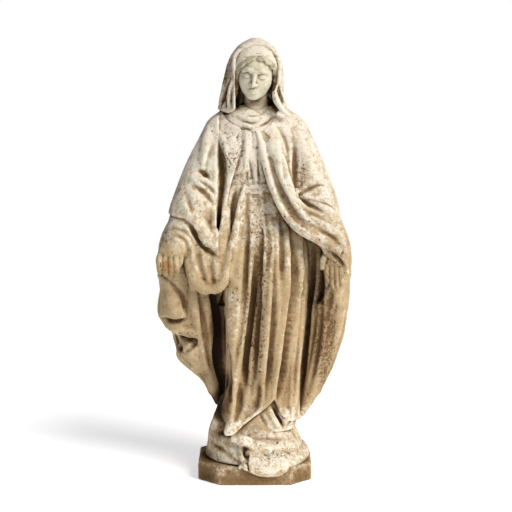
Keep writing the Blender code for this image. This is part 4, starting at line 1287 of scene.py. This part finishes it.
def cast(name, clay, node, finish, relief=1.0):
    """The block's skin, weathered, as the finished piece that stands for a node of the frame."""
    grid = openvdb.FloatGrid(FAR)
    grid.copyFromArray(np.clip(clay.field, -10, 10))
    points, quads = largest_body(*grid.convertToQuads(0.0))
    own = points * clay.step + clay.low
    mesh = bpy.data.meshes.new(name)
    mesh.from_pydata(own.tolist(), [], quads.tolist())
    mesh.update()
    normals = np.empty(len(own) * 3)
    mesh.vertex_normals.foreach_get("vector", normals)
    normals = normals.reshape(-1, 3)
    if np.einsum("ij,ij->i", own - own.mean(0), normals).mean() < 0:
        mesh.flip_normals()
        normals = -normals
    solid = np.clip(0.5 - clay.field / (2 * clay.step), 0, 1)
    edge = sampled(blurred(solid, 2), points)
    placed = own @ clay.turn.T + clay.middle
    normals = normals @ clay.turn.T
    inside_room = (placed + normals - ROOM_LOW) / ROOM_STEP
    hollow = 0.5 * sampled(near_room, inside_room) + 0.5 * sampled(wide_room, inside_room)
    crust, rust = spots(CRUST, placed), spots(RUST, placed)
    wash = 0.2 * noise(placed, 19, 1) + 0.3 * noise(placed, 7, 2) + 0.4 * noise(placed, 3.4, 3)
    # Painted shade and grime: higher where the statue closes round the point and where the piece bends
    # inwards, and set by the spots table; below 0 on the knee it is painted light.
    painted_shade_and_grime = 2.2 * (hollow - OPEN_ROOM) + 4 * (np.clip(edge, 0.42, 0.7) - FLAT_EDGE) + spots(GRIME_SHADE_AND_LIGHT, placed)
    # The limewash thins where that value is high, so it follows the painted shade and painted light as well
    # as the weather.
    wash += 0.35 - 0.45 * painted_shade_and_grime - 0.3 * crust
    grain = noise(placed, 4.2, 4) + 0.7 * noise(placed, 2.3, 5)
    pits = np.clip(grain - PIT_LEVEL + 0.35 * crust, 0, 0.8)
    swell = 0.35 * noise(placed, 22, 6) + 0.16 * noise(placed, 6, 7) * (1 + 2 * crust)
    proud = relief * (swell - 1.5 * pits + 0.45 * eased(wash * 3 + 0.5))
    placed = (placed + normals * proud[:, None]) * MM
    placed[:, 2] = np.maximum(placed[:, 2], 0)
    mesh.vertices.foreach_set("co", placed.ravel())
    for label, values in zip(SKIN_VALUES, (painted_shade_and_grime, wash, crust, rust, pits)):
        layer = mesh.attributes.new(label, "FLOAT", "POINT")
        layer.data.foreach_set("value", values.astype(np.float32))
    piece = bpy.data.objects.new(name, mesh)
    scene.collection.objects.link(piece)
    mesh.materials.append(finish)
    if 2 * len(quads) > MOST_TRIANGLES:
        fewer = piece.modifiers.new("fewer_faces", "DECIMATE")
        fewer.ratio = MOST_TRIANGLES / (2 * len(quads))
        bpy.context.view_layer.update()
        graph = bpy.context.evaluated_depsgraph_get()
        piece.data = bpy.data.meshes.new_from_object(piece.evaluated_get(graph))
        piece.modifiers.clear()
        bpy.data.meshes.remove(mesh)
    piece.data.name = name
    piece.data.shade_smooth()
    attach(piece, "root")
    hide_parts(node)
    print(name, len(piece.data.vertices), "points")
    return piece


# %% [markdown]
# ## Finish of the stone
#
# The stone is a cement and limestone mix, tan where it is bare. What the eye takes for its
# colour is mostly dirt and old limewash: cream islands with ragged edges, and dark specks where
# pits hold grime. The brown in the hollows and the near black in the deepest folds are grime
# and painted shade together. A pattern alone would lie flat on the form, so each layer of
# colour follows the values that the skin carries.


# %% Stone
def per(size):
    """The scale of a pattern whose features are `size` mm across."""
    return 1000 / size


def mixed(tree, factor, first, second):
    """The colour between two, by a factor that is a number or a socket."""
    node = add_node(tree, "ShaderNodeMix", {0: factor, 6: first, 7: second}, data_type="RGBA")
    return node.outputs[2]


def sum_of(tree, base, *terms):
    """base + value x weight + ... as a chain of multiply-adds."""
    for value, weight in terms:
        base = sums(tree, "MULTIPLY_ADD", value, weight, base)
    return base


def ramp(tree, value, low, high):
    """0 below low, 1 above high, and an easy slope between."""
    return add_node(
        tree, "ShaderNodeMapRange", {"Value": value, "From Min": low, "From Max": high},
        interpolation_type="SMOOTHSTEP",
    ).outputs[0]


def clouds(tree, place, size, detail, roughness=0.5):
    """Soft random values whose patches are `size` mm across."""
    inputs = {"Vector": place, "Scale": per(size), "Detail": detail, "Roughness": roughness}
    return add_node(tree, "ShaderNodeTexNoise", inputs).outputs[0]


def weathered_stone(name, bare, bare_dark, limewash, wash_level, speck_level, roughness):
    """Cast stone: matt, with old limewash, grime and painted shade in the hollows, and specks in the pits.
    """
    made = bpy.data.materials.new(name)
    made.use_nodes = True
    tree = made.node_tree
    shader = tree.nodes["Principled BSDF"]
    place = add_node(tree, "ShaderNodeTexCoord").outputs["Object"]
    value = {}
    for label in SKIN_VALUES:
        value[label] = add_node(tree, "ShaderNodeAttribute", attribute_name=label).outputs["Fac"]
    height = add_node(tree, "ShaderNodeSeparateXYZ", {0: place}).outputs[2]
    cloud = clouds(tree, place, 70, 3.0)
    blotch = clouds(tree, place, 14, 5.0, 0.65)
    speck = clouds(tree, place, 4.5, 6.0, 0.7)
    grit = clouds(tree, place, 1.6, 3.0, 0.7)

    below_waist, on_globe = ramp(tree, height, 0.56, 0.3), ramp(tree, height, 0.16, 0.1)
    low_down = sum_of(tree, below_waist, (on_globe, -0.7))
    base = sum_of(tree, 0.0, (blotch, 0.55), (speck, 0.45), (cloud, 0.3), (low_down, -0.06))
    stone = mixed(tree, ramp(tree, base, 0.5, 0.8), colour(bare_dark), colour(bare))
    wash = sum_of(
        tree, wash_level, (value["wash"], 0.5), (speck, 1.6), (blotch, 0.9), (grit, 0.5), (low_down, -0.6),
        (value["crust"], 0.3),
    )
    washed = ramp(tree, wash, 1.3, 1.8)
    stone = mixed(tree, washed, stone, colour(limewash))
    specks = sum_of(
        tree, speck_level, (value["pits"], 0.5), (speck, 1.35), (value["crust"], 0.27), (grit, 1.15),
        (value["painted_shade_and_grime"], 0.12), (low_down, 0.05),
    )
    specked = ramp(tree, specks, 1.39, 1.66)
    stone = mixed(tree, specked, stone, colour("#73573A"))
    # Grime and painted shade: mid brown, then near black, where the skin lies deep in hollows and creases.
    shadow_and_grime_level = sum_of(tree, 0.0, (value["painted_shade_and_grime"], 1.0), (blotch, 0.5), (speck, 0.9), (low_down, 0.15))
    stone = mixed(tree, ramp(tree, shadow_and_grime_level, 0.75, 1.7), stone, colour("#765A38"))
    stone = mixed(tree, ramp(tree, shadow_and_grime_level, 1.4, 2.3), stone, colour("#35261A"))
    rust = sum_of(tree, 0.0, (value["rust"], 0.5), (speck, 1.6), (blotch, 0.9))
    stone = mixed(tree, ramp(tree, rust, 1.5, 2.1), stone, colour("#96642F"))
    tree.links.new(stone, shader.inputs["Base Color"])
    shader.inputs["Roughness"].default_value = roughness
    shader.inputs["Specular IOR Level"].default_value = 0.25
    relief = sum_of(tree, 0.0, (speck, 1.0), (grit, 0.5), (washed, 0.3), (specked, -0.7))
    bump = add_node(tree, "ShaderNodeBump", {"Strength": 0.75, "Distance": 1.3 * MM, "Height": relief})
    tree.links.new(bump.outputs[0], shader.inputs["Normal"])
    return made


CAST_STONE = weathered_stone(
    "cast_limestone_with_limewash", "#D3C09B", "#B59C76", "#ECE3D0", 0.04, 0.0, 0.92,
)
FINE_STONE = weathered_stone(
    "fine_cast_stone_rubbed_smooth", "#D6CCAF", "#C6B793", "#E0D9C2", 0.1, -0.5, 0.85,
)
# The hands get a darker, more specked copy of the fine stone: grime, and painted shade for their place
# under the cuffs.
HAND_STONE = weathered_stone(
    "fine_cast_stone_grimy_and_painted_shade", "#CDBE9A", "#A38A62", "#E2D8BC", 0.0, 0.08, 0.9,
)
FOOT_STONE = weathered_stone(
    "cast_limestone_stained_by_soil", "#B49A76", "#846B4C", "#D8CAAE", -0.05, 0.1, 0.93,
)
print("stone finishes:", CAST_STONE.name, FINE_STONE.name)

# %% Cast the pieces
cast("mantle_cloak", mantle, "mantle", CAST_STONE)
cast("gown_and_hem", gown, "gown", CAST_STONE)
cast("veil_hood", veil, "veil", CAST_STONE)
cast("half_globe", globe, "globe", CAST_STONE)
cast("serpent_body", serpent, "serpent", CAST_STONE)
cast("octagonal_plinth", plinth, "plinth", FOOT_STONE)
cast("bowed_head", head, "head", FINE_STONE, 0.15)
cast("hand_right", right_hand, "right_hand", HAND_STONE, 0.6)
cast("hand_left", left_hand, "left_hand", HAND_STONE, 0.4)

# %% [markdown]
# ## Hair
#
# Wavy locks part over the forehead and fall beside the face, under the veil. Each lock is a
# round strand that follows a guide line and swings from side to side as it goes, so the strands
# come from one Geometry Nodes tree: guide lines in, a wave with its own start for each line, a
# taper at both ends, and a tube along it.


# %% The tree that makes locks
FULL_TURN, HALF_TURN = 6.28, 3.1416  # radians


def lock_tree():
    tree = bpy.data.node_groups.new("wavy_locks", "GeometryNodeTree")
    made = tree.interface
    made.new_socket("Guides", in_out="INPUT", socket_type="NodeSocketGeometry")
    sizes = {"Thickness": 2.7 * MM, "Wave length": 13 * MM, "Swing": 1.6 * MM}
    for label, size in sizes.items():
        made.new_socket(label, in_out="INPUT", socket_type="NodeSocketFloat").default_value = size
    made.new_socket("Seed", in_out="INPUT", socket_type="NodeSocketInt").default_value = 4
    made.new_socket("Finish", in_out="INPUT", socket_type="NodeSocketMaterial")
    made.new_socket("Locks", in_out="OUTPUT", socket_type="NodeSocketGeometry")
    given = add_node(tree, "NodeGroupInput").outputs
    lines = add_node(tree, "GeometryNodeMeshToCurve", {"Mesh": given["Guides"]})
    even = add_node(
        tree, "GeometryNodeResampleCurve", {"Curve": lines.outputs[0], "Length": 1.5 * MM}, mode="LENGTH",
    )
    along = add_node(tree, "GeometryNodeSplineParameter").outputs
    which = add_node(tree, "GeometryNodeInputIndex").outputs[0]
    per_line = add_node(tree, "GeometryNodeFieldOnDomain", {0: which}, domain="CURVE", data_type="INT")
    start = add_node(
        tree, "FunctionNodeRandomValue",
        {2: 0.0, 3: FULL_TURN, "ID": per_line.outputs[0], "Seed": given["Seed"]},
    )
    turns = sums(tree, "DIVIDE", along["Length"], given["Wave length"])
    phase = sums(tree, "MULTIPLY_ADD", turns, FULL_TURN, start.outputs[1])
    reach = sums(tree, "MULTIPLY", sums(tree, "SINE", phase), given["Swing"])
    offset = add_node(
        tree, "ShaderNodeVectorMath", {0: (0.5, 0.2, 0.84), "Scale": reach}, operation="SCALE",
    )
    waved = add_node(
        tree, "GeometryNodeSetPosition", {"Geometry": even.outputs[0], "Offset": offset.outputs[0]},
    )
    bulge = sums(tree, "SINE", sums(tree, "MULTIPLY", along["Factor"], HALF_TURN))
    width = sums(tree, "MULTIPLY", sums(tree, "POWER", bulge, 0.35), given["Thickness"])
    sized = add_node(tree, "GeometryNodeSetCurveRadius", {"Curve": waved.outputs[0], "Radius": width})
    ring = add_node(tree, "GeometryNodeCurvePrimitiveCircle", {"Resolution": 8, "Radius": 1.0})
    tubes = add_node(
        tree, "GeometryNodeCurveToMesh",
        {"Curve": sized.outputs[0], "Profile Curve": ring.outputs[0], "Scale": width, "Fill Caps": True},
    )
    real = add_node(tree, "GeometryNodeRealizeInstances", {0: tubes.outputs[0]})
    stone = add_node(
        tree, "GeometryNodeSetMaterial", {"Geometry": real.outputs[0], "Material": given["Finish"]},
    )
    add_node(tree, "NodeGroupOutput", {0: stone.outputs[0]})
    return tree


# %% Locks on the head
LEFT_GUIDE = [
    (2, -47, 728), (-9, -47, 724), (-19, -42, 718), (-27, -34, 709), (-31, -27, 698), (-32, -22, 687),
    (-33, -14, 672), (-36, -8, 655),
]
RIGHT_GUIDE = [
    (3, -47, 728), (14, -47, 725), (24, -42, 719), (32, -34, 710), (36, -27, 698), (36, -24, 685),
    (34, -22, 670), (37, -22, 655), (44, -22, 640),
]


def guide_lines():
    """Five lines a side: the first hugs the face, and each later one lies further out and back."""
    corners, ends = [], []
    for guide, side in ((LEFT_GUIDE, -1), (RIGHT_GUIDE, 1)):
        path = np.array(smooth_path(guide, 4))
        share = np.linspace(0, 1, len(path))[:, None]
        for k in range(5):
            back, lift = np.array((side * 1.6, 2.2, -1.0)), np.array((0, 0, 1.6))
            shift = back * (k - 1) * (0.4 + share) + lift * (k - 1) * (1 - share)
            first = len(corners)
            corners.extend(((path + shift) * MM).tolist())
            ends.extend((n, n + 1) for n in range(first, len(corners) - 1))
    return corners, ends


def baked(piece, tree, **settings):
    """The piece with its tree applied for good, so that nothing is left to evaluate."""
    live = piece.modifiers.new("grow", "NODES")
    live.node_group = tree
    for item in tree.interface.items_tree:
        if item.in_out == "INPUT" and item.name in settings:
            live[item.identifier] = settings[item.name]
    bpy.context.view_layer.update()
    graph = bpy.context.evaluated_depsgraph_get()
    piece.data = bpy.data.meshes.new_from_object(piece.evaluated_get(graph))
    piece.modifiers.clear()
    return piece


corners, ends = guide_lines()
lines = bpy.data.meshes.new("hair_guides")
lines.from_pydata(corners, ends, [])
hair = bpy.data.objects.new("hair_locks", lines)
scene.collection.objects.link(hair)
baked(hair, lock_tree(), Finish=FINE_STONE)
hair.data.shade_smooth()
points = np.empty(len(hair.data.vertices) * 3)
hair.data.vertices.foreach_get("co", points)
points = points.reshape(-1, 3) / MM
# The locks get painted shade, darker lower down under the veil, with a little random grime.
shading_and_grime = 0.25 + 0.55 * eased((722 - points[:, 2]) / 40) + 0.25 * noise(points, 5, 8)
hair.data.attributes.new("painted_shade_and_grime", "FLOAT", "POINT").data.foreach_set("value", shading_and_grime.astype(np.float32))
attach(hair, "root")
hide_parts("head")
print("locks:", len(hair.data.polygons), "faces")

# %% [markdown]
# ## Mortar, rod and dowels
#
# The beds, the tie rod with its nut and washer, and the dowels keep the shapes of the frame and
# only get a finish. A nut, a washer or a rod end shows only when the statue is laid down.

# %% Mortar and steel
def plain_finish(name, base, second, size, roughness, metallic=0.0):
    """One tone clouded with another: cement, or zinc that has gone dull in patches."""
    made = bpy.data.materials.new(name)
    made.use_nodes = True
    tree = made.node_tree
    shader = tree.nodes["Principled BSDF"]
    place = add_node(tree, "ShaderNodeTexCoord").outputs["Object"]
    cloud = clouds(tree, place, size, 6.0, 0.7)
    tone = mixed(tree, ramp(tree, cloud, 0.38, 0.64), colour(second), colour(base))
    tree.links.new(tone, shader.inputs["Base Color"])
    shader.inputs["Roughness"].default_value = roughness
    shader.inputs["Metallic"].default_value = metallic
    bump = add_node(tree, "ShaderNodeBump", {"Strength": 0.5, "Distance": 0.4 * MM, "Height": cloud})
    tree.links.new(bump.outputs[0], shader.inputs["Normal"])
    return made


MORTAR = plain_finish("lime_mortar_struck_flush", "#B7A88A", "#8C7C60", 4, 0.95)
STEEL = plain_finish("hot_dip_galvanised_steel", "#A9ACAD", "#8B8F91", 6, 0.5, 1.0)
BEDS = ["plinth_bed", "figure_bed"]
IRON = ["tie_rod", "tie_washer", "tie_nut"]
DOWELS = ["neck_dowel", "right_hand_dowel", "left_hand_dowel", "mantle_pin_upper", "mantle_pin_lower"]
for names, finish in ((BEDS, MORTAR), (IRON + DOWELS, STEEL)):
    for name in names:
        for place in bpy.data.objects[name].material_slots:
            place.material = finish
print("nodes kept with a finish:", len(BEDS + IRON + DOWELS))
